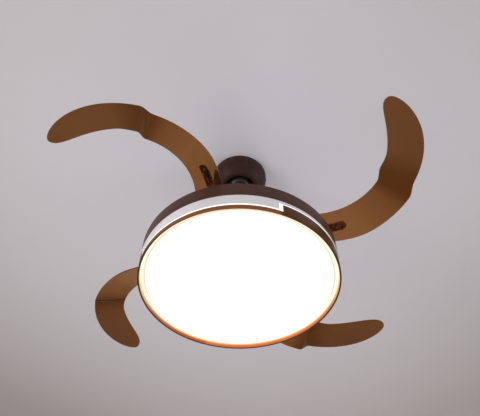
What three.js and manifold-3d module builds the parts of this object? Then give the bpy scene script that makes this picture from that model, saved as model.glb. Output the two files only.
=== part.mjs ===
// Ceiling fan with a round light under it and four blades that fold in over the light.
// Units are millimetres, +Z is up, and the origin is the centre of the ceiling bracket's top face,
// so the whole fan hangs below z = 0. It is drawn with the blades swung out.
import * as THREE from 'three';
import { mergeVertices } from 'three/addons/utils/BufferGeometryUtils.js';
import Module from 'manifold-3d';

const wasm = await Module();
wasm.setup();

// ---- Driving dimensions -------------------------------------------------------------------

// Overall
const hangingHeight = 441.5; // ceiling to the lowest edge of the light
const drumRadius = 240; // outside of the round light housing
const gap = 0.3; // between pieces that touch
const sheet = 1.5; // pressed sheet metal
const drumSides = 48; // facets round the big rings

// Ceiling bracket and its socket
const bracketWidth = 46;
const bracketPlate = 3;
const ballRadius = 30;
const ballDepth = 34; // ball centre below the ceiling
const ballTruncation = 20; // flat on the ball, above its centre
const ballFoot = 26; // foot of the ball, below its centre
const ballGap = 0.5; // running clearance in the socket
const socketWall = 5;
const socketRise = 6; // rim of the socket, below the ball centre
const socketDrop = 22; // lower edge of the socket, below the ball centre
const armThickness = 4;
const armWidth = 26;
const earThickness = 3;
const earWidth = 18;
const earLength = 18; // turned-down ends that the canopy screws enter
const boltSlot = [18, 6]; // length and width of the slots for the ceiling screws
const wireHoleRadius = 9;

// Canopy
const canopyRadius = 77;
const canopyDepth = 58;
const canopyHole = 45;
const canopyWall = 1.5;
const canopyLip = 19; // height of the straight upper part
const canopyHaunch = [68, 43]; // radius, and depth below the ceiling, halfway down the dome
const canopyFootRadius = 53; // flat round the mouth
const canopySeat = 1; // rim below the ceiling face
const screwRadius = 2;
const screwHead = [4, 3, 2.2]; // radius at the wall, radius at the top, height
const screwDrop = 14; // canopy screws, below the ceiling

// Downrod and coupling
const rodRadius = 13.5;
const rodBore = 10.5;
const crossPinRadius = 4;
const crossPinLength = 50;
const crossPinRise = 6; // pin above the ball centre
const couplingRadius = 22;
const couplingFlange = 8; // how far the foot of the coupling spreads
const couplingHeight = 50;
const couplingSocket = 28; // depth that the rod stands in the coupling
const couplingPinRadius = 3;
const couplingPinLength = 58;
const couplingCoverRadius = 38;
const couplingCoverHeight = 62;
const couplingCoverWall = 2;

// Motor. Heights from here down are above the light's lowest edge.
const shaftRadius = 10;
const shaftBore = 6;
const shaftFoot = 65.5; // lower end of the shaft
const shaftRise = 20; // upper end, above the motor cover
const bearingWall = 7.5; // radial thickness of a bearing
const bearingWidth = 7;
const motorRadius = 89; // outside of the turning housing
const motorWall = 3;
const motorBarrel = 40.7; // height of the lower housing
const motorHeight = 78.7; // both housings, without the bearing hubs
const hubWall = 4;
const hubReach = 9; // lower bearing hub, below the housing
const crownReach = 11; // upper bearing hub, above it
const statorHeight = 22;
const statorPoles = 12;
const magnetThickness = 5.5;
const airGap = 0.8;
const motorSides = 24;
const coverMargin = 29; // fixed bell, outside the turning housing
const coverWall = 2;
const coverSkirt = 134;
const coverShoulder = 180;
const coverTop = 222;
const coverNeck = 30;
const ventCount = 8;

// Blade carrier: two plates with the sync ring between them
const carrierRise = 4.5; // lower plate above the light housing
const carrierPlate = 2.5;
const carrierHole = 30;
const plateClearance = 1.5; // sync ring to either plate
const postCount = 4;
const postRadius = 6;
const windowCount = 8;

// Blades
const bladeCount = 4;
const pivotRadius = 199; // pivots, from the fan's axis
const pivotAzimuth = -19.3; // first pivot, degrees from +X
const openAngle = 104.4; // swing from folded to open, degrees
const bladeHalfWidth = 39.5; // either side of the pivot circle, when folded
const bladeThickness = 3;
const bladeHeight = 139.5; // leading edge of the inner half
const rootSlope = 0.4; // fall per millimetre outward at the root, 22 degrees of pitch
const tipSlope = 0.33; // and past the joggle, 18 degrees
const bladeJoggle = 20; // rise of the outer half, which passes over the next blade's root
const joggleStart = 64; // degrees along the blade from its pivot
const joggleEnd = 72;
const bladeRoot = -5; // degrees along, as are the next two; the blade reaches past its pivot
const tipStart = 88;
const bladeTip = 133.5;
const tipFlare = 4; // how far the leading edge has drawn out where the tip begins
const tipShift = 8; // middle of the tip's round, outside the pivot circle
const tipPower = 2.25; // of the superellipse that rounds the tip
const tipFlat = 0.12; // share of the blade's width that the tip ends with
const rootRound = 7;
const rootNarrowing = 13; // how far the trailing edge is drawn in at the root
const rootNarrowEnd = 36; // degrees along the blade, where it has run out

// What holds a blade to its pivot
const pinRadius = 5;
const pinHead = [9, 8, 2.4]; // radius below, radius above, height
const hubRadius = 12.5;
const hubInset = 9; // how far inward of the pivot the hub's height is taken
const tabThickness = 2.5;
const tabHalfWidth = 10;
const tabEnd = 21.5; // degrees along the blade
const clampThickness = 2;
const clampHalfWidth = 8.5;
const clampStart = 8; // degrees along the blade
const clampEnd = 20.5;
const studRadius = 2.3;
const studHead = [3.6, 1.8]; // radius and height
const studPlaces = [[10.5, 1], [14.5, -4], [18.5, 4]]; // degrees along the blade, mm off its middle
const springWire = 2.7;
const springLength = 7;

// Gears that keep the blades together
const armTeeth = 20;
const sunTeeth = 112;
const gearThickness = 4;
const pressureAngle = 20;
const toothBacklash = 0.35; // taken off each tooth, at the pitch circle
const sunWeb = 19.2; // ring inside the tooth roots
const sunHoleSides = 20; // per half turn
const sunReach = [-25.5, 7]; // degrees round each pivot that its arm runs over
const sectorMargin = 26; // toothed degrees of an arm beyond either end of its swing

// Light
const trimWall = 4.8;
const lipDepth = 10.5; // diffuser above the lowest edge
const trimLow = 8.8; // height of the lower trim on its shallow quarters
const trimTall = 31.3; // and on its deep quarters
const glowGap = [5, 3.6]; // lit slot over the shallow and the deep trim, below the white band
const glowJog = 9.6; // width of the slot where it stands upright at a step
const glowRecess = 0.8; // light guide inside the drum's surface
const glowDepth = 3.6;
const bandTop = 42.8;
const bandWall = 4;
const drumTop = 84.7;
const drumWall = 1.5;
const drumChamfer = 2.5;
const stepAzimuth = -68.1; // first step in the side band, degrees from +X
const diffuserWall = 2;
const diffuserMargin = 5.8; // flat border of the diffuser
const diffuserCrown = 1.2;
const diffuserFlange = 7; // upstand that the catches hold
const panCentreRadius = 62;
const panSlopeRadius = 96;
const panCentreHeight = 75.5;
const panRim = 8;
const collarWall = 10;
const ledMargin = 34; // board inside the drum
const ledBoardHole = 60;
const ledCount = 16;
const ledInset = [86, 21]; // the two circles of chips, inside the board's edge
const chipSize = [7, 7, 3];
const driverSize = [120, 52, 28];
const receiverSize = [90, 38, 24];
const electronicsInset = 85; // boxes inside the drum
const catchCount = 3;
const catchWidth = 18;
const catchAzimuth = 17; // degrees

// ---- Sizes that follow --------------------------------------------------------------------

const bracketLength = 2 * (canopyRadius - 7);
const socketSlot = 2 * rodRadius + 4; // side opening that the rod passes through when it is hung
const bearingRadius = shaftRadius + bearingWall;
const hubOuter = bearingRadius + gap + hubWall;
const collarRadius = shaftRadius + collarWall;
const coverRadius = motorRadius + coverMargin;
const carrierBottom = drumTop + carrierRise;
const gearHeight = carrierBottom + carrierPlate + plateClearance;
const upperPlate = gearHeight + gearThickness + plateClearance; // underside of the upper plate
const carrierTop = upperPlate + carrierPlate;
const carrierRadius = pivotRadius + 7;
const postCircle = pivotRadius - 14;
const motorBase = carrierTop + gap;
const motorSeam = motorBase + motorBarrel;
const motorCrown = motorBase + motorHeight;
const gearModule = (2 * pivotRadius) / (armTeeth + sunTeeth);
const bladeInnerRadius = pivotRadius - bladeHalfWidth; // leading edge, when folded
const bladeOuterRadius = pivotRadius + bladeHalfWidth; // trailing edge, when folded
const lipRadius = drumRadius - trimWall; // inside of the lower trim
const ledBoardRadius = drumRadius - ledMargin;

// ---- Small geometry tools -----------------------------------------------------------------

const toRadians = THREE.MathUtils.degToRad;
const up = (height) => height - hangingHeight; // heights are counted from the light's lowest edge

// Joins shared corners, drops slivers and turns the faces outward.
function weld(geometry) {
  const bare = new THREE.BufferGeometry();
  bare.setAttribute('position', geometry.getAttribute('position').clone());
  bare.setIndex(geometry.getIndex() ? geometry.getIndex().clone() : null);
  const merged = mergeVertices(bare, 1e-4);
  const corners = merged.getIndex().array;
  const at = merged.getAttribute('position');
  const kept = [];
  let volume = 0;
  const [a, b, c] = [new THREE.Vector3(), new THREE.Vector3(), new THREE.Vector3()];
  for (let i = 0; i < corners.length; i += 3) {
    const [p, q, r] = [corners[i], corners[i + 1], corners[i + 2]];
    if (p === q || q === r || r === p) continue;
    kept.push(p, q, r);
    a.fromBufferAttribute(at, p);
    b.fromBufferAttribute(at, q);
    c.fromBufferAttribute(at, r);
    volume += a.dot(b.cross(c));
  }
  if (volume < 0) kept.reverse();
  merged.setIndex(kept);
  return merged;
}

function toManifold(geometry) {
  const closed = weld(geometry);
  return new wasm.Manifold(new wasm.Mesh({
    numProp: 3,
    vertProperties: new Float32Array(closed.getAttribute('position').array),
    triVerts: new Uint32Array(closed.getIndex().array),
  }));
}

function toGeometry(manifold) {
  const mesh = manifold.getMesh();
  const geometry = new THREE.BufferGeometry();
  geometry.setAttribute('position', new THREE.BufferAttribute(mesh.vertProperties, 3));
  geometry.setIndex(new THREE.BufferAttribute(mesh.triVerts, 1));
  return geometry;
}

const join = (...pieces) => toGeometry(pieces.map(toManifold).reduce((a, b) => a.add(b)));

function cut(piece, ...tools) {
  return toGeometry(tools.map(toManifold).reduce((a, b) => a.subtract(b), toManifold(piece)));
}

// A turned solid about Z. The profile is a list of [radius, z] that starts and ends on the axis,
// or is closed here when it doesn't.
function turned(profile, sides) {
  const points = profile.map(([r, z]) => new THREE.Vector2(r, z));
  const onAxis = profile[0][0] === 0 && profile[profile.length - 1][0] === 0;
  if (!onAxis) points.push(points[0].clone());
  return weld(new THREE.LatheGeometry(points, sides).rotateX(Math.PI / 2));
}

const ring = (inner, outer, bottom, top, sides) =>
  turned([[inner, bottom], [outer, bottom], [outer, top], [inner, top]], sides);

const rod = (radius, bottom, top, sides) =>
  turned([[0, bottom], [radius, bottom], [radius, top], [0, top]], sides);

// Corner radius of a faceted hole that stays the usual gap clear of a round piece in it.
const around = (radius, sides) => (radius + gap) / Math.cos(Math.PI / sides);

// A tool that drills along X or Y, right through, at the given height.
const through = 400;
const drillX = (radius, z) => rod(around(radius, 12), -through, through, 12)
  .rotateY(Math.PI / 2).translate(0, 0, z);
const drillY = (radius, z) => rod(around(radius, 10), -through, through, 10)
  .rotateX(Math.PI / 2).translate(0, 0, z);

const block = (x, y, z) => new THREE.BoxGeometry(x, y, z);

const outline = (points) => new THREE.Shape(points.map(([x, y]) => new THREE.Vector2(x, y)));

function roundHole(shape, radius) {
  const hole = new THREE.Path();
  hole.absarc(0, 0, radius, 0, 2 * Math.PI, true);
  shape.holes.push(hole);
  return shape;
}

function plate(shape, bottom, thickness, curveSegments = 12) {
  const settings = { depth: thickness, bevelEnabled: false, curveSegments };
  return new THREE.ExtrudeGeometry(shape, settings).translate(0, 0, bottom);
}

// Evenly spaced values from one end to the other.
function spread(from, to, count) {
  return Array.from({ length: count + 1 }, (_, i) => from + ((to - from) * i) / count);
}

function polar(radius, degrees) {
  return [radius * Math.cos(toRadians(degrees)), radius * Math.sin(toRadians(degrees))];
}

// Angle within half a turn of zero.
const wrap = (degrees, turn = 360) => THREE.MathUtils.euclideanModulo(degrees + turn / 2, turn) - turn / 2;

// Eases from 0 to 1 as t does.
function smooth(t) {
  const s = THREE.MathUtils.clamp(t, 0, 1);
  return s * s * (3 - 2 * s);
}

// A closed solid through a row of like cross-sections, each a list of corners in the same order.
function loft(sections) {
  const corners = sections[0].length;
  const index = [];
  for (let s = 0; s + 1 < sections.length; s += 1) {
    for (let c = 0; c < corners; c += 1) {
      const d = (c + 1) % corners;
      const [p, q] = [s * corners, (s + 1) * corners];
      index.push(p + c, p + d, q + d, p + c, q + d, q + c);
    }
  }
  const last = (sections.length - 1) * corners;
  for (let c = 1; c + 1 < corners; c += 1) {
    index.push(0, c + 1, c, last, last + c, last + c + 1);
  }
  const geometry = new THREE.BufferGeometry();
  geometry.setAttribute('position', new THREE.Float32BufferAttribute(sections.flat(2), 3));
  geometry.setIndex(index);
  return weld(geometry);
}

// ---- Materials ----------------------------------------------------------------------------

function finish(color, roughness, metalness) {
  return new THREE.MeshStandardMaterial({ color, roughness, metalness });
}
const bronze = finish(0x4a352c, 0.45, 0.1);
const trimBrown = finish(0x7d5238, 0.4, 0.1);
const white = finish(0xe6e2e0, 0.35, 0);
const opal = finish(0xfffdf6, 0.5, 0);
const glow = finish(0xfff6e4, 0.3, 0);
const smoky = finish(0x69482a, 0.2, 0);
const steel = finish(0xa9abad, 0.35, 0.9);
const zinc = finish(0x8d9094, 0.4, 0.8);
const castMetal = finish(0x55504c, 0.5, 0.7);
const magnetBlack = finish(0x2a2a2c, 0.6, 0.3);
const copper = finish(0x9a6038, 0.4, 0.8);
const nylon = finish(0xd8d4c8, 0.6, 0);

const fan = new THREE.Group();

function add(name, geometry, material, parent = fan) {
  const mesh = new THREE.Mesh(weld(geometry), material.clone());
  mesh.name = name;
  parent.add(mesh);
}

// ---- Ceiling bracket and canopy -----------------------------------------------------------

// Pressed plate with two arms that carry an open socket ring for the ball.
function ceilingBracket() {
  const plateSolid = block(bracketLength, bracketWidth, bracketPlate).translate(0, 0, -bracketPlate / 2);
  const seatRadius = ballRadius + ballGap;
  const socketOuter = seatRadius + socketWall;
  const rim = -ballDepth - socketRise;
  const seatAngle = (drop) => Math.asin(drop / seatRadius);
  const seat = spread(seatAngle(socketRise), seatAngle(socketDrop), 3)
    .map((angle) => [seatRadius * Math.cos(angle), -ballDepth - seatRadius * Math.sin(angle)]);
  const lip = 4; // straight part of the socket's outside
  const socket = turned([
    ...seat,
    [seat[3][0] + socketWall, -ballDepth - socketDrop - 1],
    [socketOuter, rim - lip],
    [socketOuter, rim],
  ], 30);
  const opening = block(socketSlot, through, through).translate(0, through / 2 + 6, rim);
  const armMiddle = socketOuter - 2.5 + armThickness / 2;
  const armLength = -rim + lip - bracketPlate / 2;
  const arms = [-1, 1].map((side) => block(armThickness, armWidth, armLength)
    .translate(side * armMiddle, 0, -bracketPlate / 2 - armLength / 2));
  const ears = [-1, 1].map((side) => block(earThickness, earWidth, earLength)
    .translate(side * (bracketLength - earThickness) / 2, 0, -bracketPlate / 2 - earLength / 2));
  const slots = [-1, 1].map((side) => block(...boltSlot, 4 * bracketPlate)
    .translate(side * (bracketLength / 2 - 17), 0, 0));
  const wireHole = rod(wireHoleRadius, -2 * bracketPlate, bracketPlate, 16).translate(0, -11, 0);
  const body = join(plateSolid, cut(socket, opening), ...arms, ...ears);
  return cut(body, ...slots, wireHole, drillX(screwRadius, -screwDrop));
}

function canopyShell() {
  const lipFoot = -canopySeat - canopyLip;
  const [haunchRadius, haunchDepth] = canopyHaunch;
  const outer = [
    [canopyRadius, -canopySeat],
    [canopyRadius, lipFoot],
    [haunchRadius, -haunchDepth],
    [canopyFootRadius, -canopyDepth],
    [canopyHole, -canopyDepth],
  ];
  const inner = [
    [canopyHole, -canopyDepth + canopyWall],
    [canopyFootRadius - canopyWall / 3, -canopyDepth + canopyWall],
    [haunchRadius - canopyWall, -haunchDepth + canopyWall / 3],
    [canopyRadius - canopyWall, lipFoot + canopyWall / 3],
    [canopyRadius - canopyWall, -canopySeat],
  ];
  return cut(turned([...outer, ...inner], 24), drillX(screwRadius, -screwDrop));
}

// Pan-head screw from the canopy's side into the bracket's ear.
function canopyScrew(side) {
  const wallOutside = canopyRadius + gap;
  const tip = bracketLength / 2 - 7;
  const [headRadius, topRadius, headHeight] = screwHead;
  return turned([
    [0, tip], [screwRadius, tip], [screwRadius, wallOutside], [headRadius, wallOutside],
    [topRadius, wallOutside + headHeight], [0, wallOutside + headHeight],
  ], 14).rotateY(side * Math.PI / 2).translate(0, 0, -screwDrop);
}

add('ceiling_bracket', ceilingBracket(), zinc);
add('canopy', canopyShell(), bronze);
add('canopy_screw_right', canopyScrew(1), bronze);
add('canopy_screw_left', canopyScrew(-1), bronze);

// ---- Ball, downrod and coupling -----------------------------------------------------------

const ballZ = -ballDepth;
const crossPinZ = ballZ + crossPinRise;
const rodTop = ballZ + 16;
const couplingBottom = up(coverTop + 2);
const couplingTop = couplingBottom + couplingHeight;
const rodBottom = couplingTop - couplingSocket;
const couplingPinZ = rodBottom + couplingSocket / 2;

function hangerBall() {
  const arc = spread(-ballFoot, ballTruncation, 5)
    .map((z) => [Math.sqrt(ballRadius ** 2 - z ** 2), ballZ + z]);
  const bore = rodRadius + gap;
  const body = turned([[bore, ballZ - ballFoot], ...arc, [bore, ballZ + ballTruncation]], 20);
  return cut(body, drillX(crossPinRadius, crossPinZ));
}

function downrod() {
  const pipe = ring(rodBore, rodRadius, rodBottom, rodTop, 16);
  return cut(pipe, drillX(crossPinRadius, crossPinZ), drillY(couplingPinRadius, couplingPinZ));
}

function coupling() {
  const foot = couplingRadius + couplingFlange;
  const step = rodBottom - gap; // shoulder that the rod stands on
  const body = turned([
    [shaftRadius + gap, couplingBottom], [foot, couplingBottom],
    [foot, couplingBottom + 4], [couplingRadius, couplingBottom + 7],
    [couplingRadius, couplingTop], [rodRadius + gap, couplingTop],
    [rodRadius + gap, step], [shaftRadius + gap, step],
  ], 20);
  return cut(body, drillY(couplingPinRadius, couplingPinZ));
}

// Bell that hides the coupling and its pin, and stands on the coupling's foot.
function couplingCover() {
  const wall = couplingCoverWall;
  const base = couplingBottom + 4 + gap;
  const top = base + couplingCoverHeight;
  const neck = rodRadius + gap;
  const waist = couplingCoverRadius - 5;
  return turned([
    [couplingCoverRadius, base], [couplingCoverRadius, base + 16], [waist, base + 38],
    [neck + 9, top - 8], [neck + 4, top], [neck, top],
    [neck, top - 4], [neck + 7, top - 9], [waist - wall, base + 37],
    [couplingCoverRadius - wall, base + 16], [couplingCoverRadius - wall, base],
  ], 20);
}

add('hanger_ball', hangerBall(), castMetal);
add('cross_pin', rod(crossPinRadius, -crossPinLength / 2, crossPinLength / 2, 12)
  .rotateY(Math.PI / 2).translate(0, 0, crossPinZ), steel);
add('downrod', downrod(), bronze);
add('coupling', coupling(), castMetal);
add('coupling_pin', rod(couplingPinRadius, -couplingPinLength / 2, couplingPinLength / 2, 10)
  .rotateX(Math.PI / 2).translate(0, 0, couplingPinZ), steel);
add('coupling_cover', couplingCover(), bronze);

// ---- Motor --------------------------------------------------------------------------------

const lowerBearing = motorBase - hubReach + 2;
const upperBearing = motorCrown + crownReach - bearingWidth - 1;
const magnetOuter = motorRadius - motorWall - gap;
const statorRadius = (magnetOuter - magnetThickness) * Math.cos(Math.PI / motorSides) - airGap;
const statorBase = (motorBase + motorWall + motorSeam) / 2 - 4;

function bearing(base) {
  return ring(shaftRadius + gap, bearingRadius, up(base), up(base + bearingWidth), 16);
}

// Laminated core with its wound poles. Turns are shares of the pitch of the poles.
function stator() {
  const pitch = 360 / statorPoles;
  const coreRadius = statorRadius * 0.52;
  const shoeRoot = statorRadius - 5;
  const [neck, shoe] = [0.27, 0.42];
  const half = [[coreRadius, neck], [shoeRoot, neck], [shoeRoot, shoe], [statorRadius, shoe]];
  const points = [];
  for (let i = 0; i < statorPoles; i += 1) {
    half.forEach(([radius, turn]) => points.push(polar(radius, (i - turn) * pitch)));
    half.toReversed().forEach(([radius, turn]) => points.push(polar(radius, (i + turn) * pitch)));
  }
  return plate(roundHole(outline(points), shaftRadius + gap), up(statorBase), statorHeight, 20);
}

function lowerHousing() {
  const foot = up(motorBase - hubReach);
  const floor = up(motorBase);
  const inside = motorRadius - motorWall;
  const seat = hubOuter - hubWall;
  return turned([
    [seat, foot], [hubOuter, foot], [hubOuter, floor], [motorRadius, floor],
    [motorRadius, up(motorSeam)], [inside, up(motorSeam)],
    [inside, floor + motorWall], [seat, floor + motorWall],
  ], motorSides);
}

function upperHousing() {
  const crown = up(motorCrown);
  const head = up(motorCrown + crownReach);
  const seam = up(motorSeam) + gap;
  const seat = hubOuter - hubWall;
  return turned([
    [motorRadius, seam], [motorRadius, up(motorSeam + 16)], [motorRadius - 12, crown - 8],
    [motorRadius - 34, crown], [hubOuter, crown], [hubOuter, head], [seat, head],
    [seat, crown - motorWall], [motorRadius - 35, crown - motorWall],
    [motorRadius - 14, crown - 10], [motorRadius - motorWall, up(motorSeam + 15)],
    [motorRadius - motorWall, seam],
  ], motorSides);
}

// Fixed bell over the motor, with a row of slots that let its warm air out.
function motorCover() {
  const shell = turned([
    [coverRadius, up(coverSkirt)], [coverRadius, up(coverShoulder - 14)],
    [coverRadius - 7, up(coverShoulder)], [coverRadius - 28, up(coverShoulder + 12)],
    [coverNeck + 22, up(coverTop - 12)], [coverNeck + 6, up(coverTop)],
    [shaftRadius + gap, up(coverTop)], [shaftRadius + gap, up(coverTop - coverWall)],
    [coverNeck + 5, up(coverTop - coverWall)], [coverNeck + 20, up(coverTop - 13)],
    [coverRadius - 30, up(coverShoulder + 10)], [coverRadius - 9, up(coverShoulder - 1)],
    [coverRadius - coverWall, up(coverShoulder - 15)], [coverRadius - coverWall, up(coverSkirt)],
  ], motorSides);
  const slot = block(30, 5, 30).translate(coverRadius - 44, 0, up(coverShoulder + 22));
  const vents = Array.from({ length: ventCount }, (_, i) =>
    slot.clone().rotateZ(((i + 0.5) * 2 * Math.PI) / ventCount));
  return cut(shell, ...vents);
}

add('motor_cover', motorCover(), bronze);
add('motor_shaft', ring(shaftBore, shaftRadius, up(shaftFoot), up(coverTop + shaftRise), 20), steel);
add('stator', stator(), copper);
add('lower_bearing', bearing(lowerBearing), steel);
add('upper_bearing', bearing(upperBearing), steel);
add('rotor_lower_housing', lowerHousing(), castMetal);
add('rotor_upper_housing', upperHousing(), castMetal);
add('magnet_ring', ring(magnetOuter - magnetThickness, magnetOuter, up(statorBase - 2),
  up(statorBase + statorHeight + 2), motorSides), magnetBlack);

// ---- Gears --------------------------------------------------------------------------------

const pitchRadius = (teeth) => (gearModule * teeth) / 2;
const rootRadius = (teeth) => pitchRadius(teeth) - 1.2 * gearModule;
const fromPolar = ([r, angle]) => [r * Math.cos(angle), r * Math.sin(angle)];

// One tooth's outline about the given angle, in radians, as [radius, angle]: root, straight-sided
// stand-ins for the involute flanks, and tip.
function toothPoints(teeth, centre) {
  const pitch = pitchRadius(teeth);
  const base = pitch * Math.cos(toRadians(pressureAngle));
  const root = rootRadius(teeth);
  const tip = pitch + 0.9 * gearModule;
  const involute = (r) => Math.sqrt((r / base) ** 2 - 1) - Math.atan(Math.sqrt((r / base) ** 2 - 1));
  const halfAtPitch = Math.PI / (2 * teeth) - toothBacklash / 2 / pitch;
  const start = Math.max(base, root) * 1.0005; // the involute begins just outside its base circle
  const half = (r) => halfAtPitch + involute(pitch) - involute(r);
  const flank = [[start, half(start)], [tip, half(tip)]];
  if (root < base) flank.unshift([root, half(start)]);
  const before = flank.map(([r, angle]) => [r, centre - angle]);
  const after = flank.map(([r, angle]) => [r, centre + angle]);
  return [...before, ...after.reverse()];
}

const sunInner = rootRadius(sunTeeth) - sunWeb;

// Ring between the two carrier plates, toothed only where each arm runs on it.
function syncRing() {
  const points = [];
  for (let k = 0; k < sunTeeth; k += 1) {
    const azimuth = (k * 360) / sunTeeth;
    const fromPivot = wrap(azimuth, 360 / bladeCount);
    const toothed = fromPivot >= sunReach[0] && fromPivot <= sunReach[1];
    if (toothed) points.push(...toothPoints(sunTeeth, toRadians(azimuth)).map(fromPolar));
    else if (k % 3 === 0) points.push(polar(rootRadius(sunTeeth), azimuth));
  }
  const shape = roundHole(outline(points), around(sunInner - gap, 2 * sunHoleSides));
  return plate(shape, up(gearHeight), gearThickness, sunHoleSides).rotateZ(toRadians(pivotAzimuth));
}

add('sync_ring', syncRing(), nylon);

// ---- Blades -------------------------------------------------------------------------------
// Each blade is drawn folded, as an arc round the fan's axis that runs clockwise from its pivot
// on the +X axis, and is then swung out about that pivot.

const rise = (along) => bladeJoggle * smooth((along - joggleStart) / (joggleEnd - joggleStart));

// Fall of the blade per millimetre outward, which eases off from the pivot to the joggle.
function slope(along) {
  return rootSlope + (tipSlope - rootSlope) * smooth(along / joggleStart);
}

function bladeZ(along, radius) {
  return up(bladeHeight) + rise(along) - slope(along) * (radius - bladeInnerRadius);
}

// Leading and trailing edge of the blade, as radii, with a rounded root and a rounded tip.
function bladeEdges(along) {
  const tipCentre = pivotRadius + tipShift;
  const flare = tipFlare * smooth((along - joggleEnd) / (tipStart - joggleEnd));
  const t = THREE.MathUtils.clamp((along - tipStart) / (bladeTip - tipStart), 0, 1);
  const shrink = Math.max((1 - t ** tipPower) ** (1 / tipPower), tipFlat);
  const inner = tipCentre - (tipCentre - bladeInnerRadius - flare) * shrink;
  const narrowing = rootNarrowing * (1 - smooth((along - bladeRoot) / (rootNarrowEnd - bladeRoot)));
  const outer = tipCentre + (bladeOuterRadius - tipCentre) * shrink - narrowing;
  const rootArc = THREE.MathUtils.radToDeg(rootRound / pivotRadius);
  const u = THREE.MathUtils.clamp((along - bladeRoot) / rootArc, 0, 1);
  const corner = rootRound * (1 - Math.sqrt(1 - (1 - u) ** 2));
  return [inner + corner, outer - corner];
}

function swingOut(geometry) {
  return geometry.translate(-pivotRadius, 0, 0).rotateZ(toRadians(openAngle)).translate(pivotRadius, 0, 0);
}

// A plate that follows the blade's slope between two radii, offset from the blade's middle surface.
function followBlade(stations, radii, offset, thickness) {
  return loft(stations.map((along) => {
    const [inner, outer] = radii(along);
    const corner = (radius, lift) => [...polar(radius, -along), bladeZ(along, radius) + offset + lift];
    return [corner(inner, 0), corner(outer, 0), corner(outer, thickness), corner(inner, thickness)];
  }));
}

// Tools for the three stud holes, and for anything else that stands at the studs.
function atStuds(make) {
  return studPlaces.map(([along, off]) => {
    const radius = pivotRadius + off;
    const [x, y] = polar(radius, -along);
    return make(along, radius).translate(x, y, 0);
  });
}

const studHoles = () => atStuds(() => rod(around(studRadius, 6), up(0), up(2 * bladeHeight), 6));

function bladeSolid() {
  const stations = [
    bladeRoot, bladeRoot + 0.7, bladeRoot + 2, ...spread(bladeRoot + 8, joggleStart, 8),
    ...spread(joggleStart, joggleEnd, 4).slice(1), ...spread(joggleEnd, tipStart, 3).slice(1),
    ...spread(tipStart, bladeTip - 3, 9).slice(1), bladeTip - 1.4, bladeTip - 0.4, bladeTip,
  ];
  const body = followBlade(stations, bladeEdges, -bladeThickness / 2, bladeThickness);
  const hubHole = rod(hubRadius + 1, up(0), up(2 * bladeHeight), 14).translate(pivotRadius, 0, 0);
  return swingOut(cut(body, hubHole, ...studHoles()));
}

const tabFloor = bladeThickness / 2 + gap;
const clampFloor = tabFloor + tabThickness + gap;
const hubTop = bladeZ(0, pivotRadius - hubInset) + tabFloor + gap + tabThickness;

// Toothed sector under an arm's hub. It is drawn with the arm already swung out.
function armSector() {
  const points = [];
  const pitch = 360 / armTeeth;
  for (let k = 0; k < armTeeth; k += 1) {
    const azimuth = wrap((k + 0.5) * pitch);
    const toothed = azimuth >= -sectorMargin && azimuth <= openAngle + sectorMargin;
    if (toothed) points.push(...toothPoints(armTeeth, toRadians(azimuth)).map(fromPolar));
    else points.push(polar(hubRadius, azimuth));
  }
  return plate(outline(points), up(gearHeight), gearThickness).rotateZ(Math.PI)
    .translate(pivotRadius, 0, 0);
}

// Steel arm: a hub on the pivot, its gear sector and a tab on the blade's top face.
function bladeArm() {
  const taper = (along) => (along > tabEnd - 1 ? 3 : 0);
  const tab = followBlade(spread(-3, tabEnd, 4), (along) =>
    [pivotRadius - tabHalfWidth + taper(along), pivotRadius + tabHalfWidth - taper(along)],
  tabFloor, tabThickness);
  const hub = rod(hubRadius, up(gearHeight), hubTop, 14).translate(pivotRadius, 0, 0);
  const bore = rod(around(pinRadius, 12), up(0), up(2 * bladeHeight), 12).translate(pivotRadius, 0, 0);
  const swung = swingOut(cut(join(hub, tab), bore, ...studHoles()));
  return cut(join(swung, armSector()), bore);
}

// Doubling plate on the arm's tab. Its three studs go down through tab and blade to flat heads.
function bladeClamp() {
  const backing = followBlade(spread(clampStart, clampEnd, 3), () =>
    [pivotRadius - clampHalfWidth, pivotRadius + clampHalfWidth], clampFloor, clampThickness);
  const [headRadius, headHeight] = studHead;
  const studs = atStuds((along, radius) => {
    const top = bladeZ(along, radius) + clampFloor + clampThickness / 2;
    const head = bladeZ(along, radius + headRadius) - bladeThickness / 2 - gap;
    return turned([
      [0, head - headHeight], [headRadius, head - headHeight], [headRadius, head],
      [studRadius, head], [studRadius, top], [0, top],
    ], 6);
  });
  return swingOut(join(backing, ...studs));
}

// Shouldered pin: a head under the carrier, the bearing length, and a cap on the arm's hub.
function pivotPin() {
  const foot = up(carrierBottom) - gap;
  const head = hubTop + gap;
  const [capRadius, capTop, capHeight] = pinHead;
  return turned([
    [0, foot - 3], [capTop, foot - 3], [capTop, foot], [pinRadius, foot], [pinRadius, head],
    [capRadius, head], [capTop, head + capHeight], [0, head + capHeight],
  ], 12).translate(pivotRadius, 0, 0);
}

function returnSpring() {
  const base = up(carrierTop) + 1;
  const inner = around(hubRadius, 12);
  return ring(inner, inner + springWire, base, base + springLength, 12).translate(pivotRadius, 0, 0);
}

for (let k = 0; k < bladeCount; k += 1) {
  const quarter = new THREE.Group();
  quarter.rotation.z = toRadians(pivotAzimuth) - (k * 2 * Math.PI) / bladeCount;
  fan.add(quarter);
  add(`blade_${k + 1}`, bladeSolid(), smoky, quarter);
  add(`blade_arm_${k + 1}`, bladeArm(), steel, quarter);
  add(`blade_clamp_${k + 1}`, bladeClamp(), steel, quarter);
  add(`pivot_pin_${k + 1}`, pivotPin(), steel, quarter);
  add(`return_spring_${k + 1}`, returnSpring(), steel, quarter);
}

// ---- Blade carrier ------------------------------------------------------------------------

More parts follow.
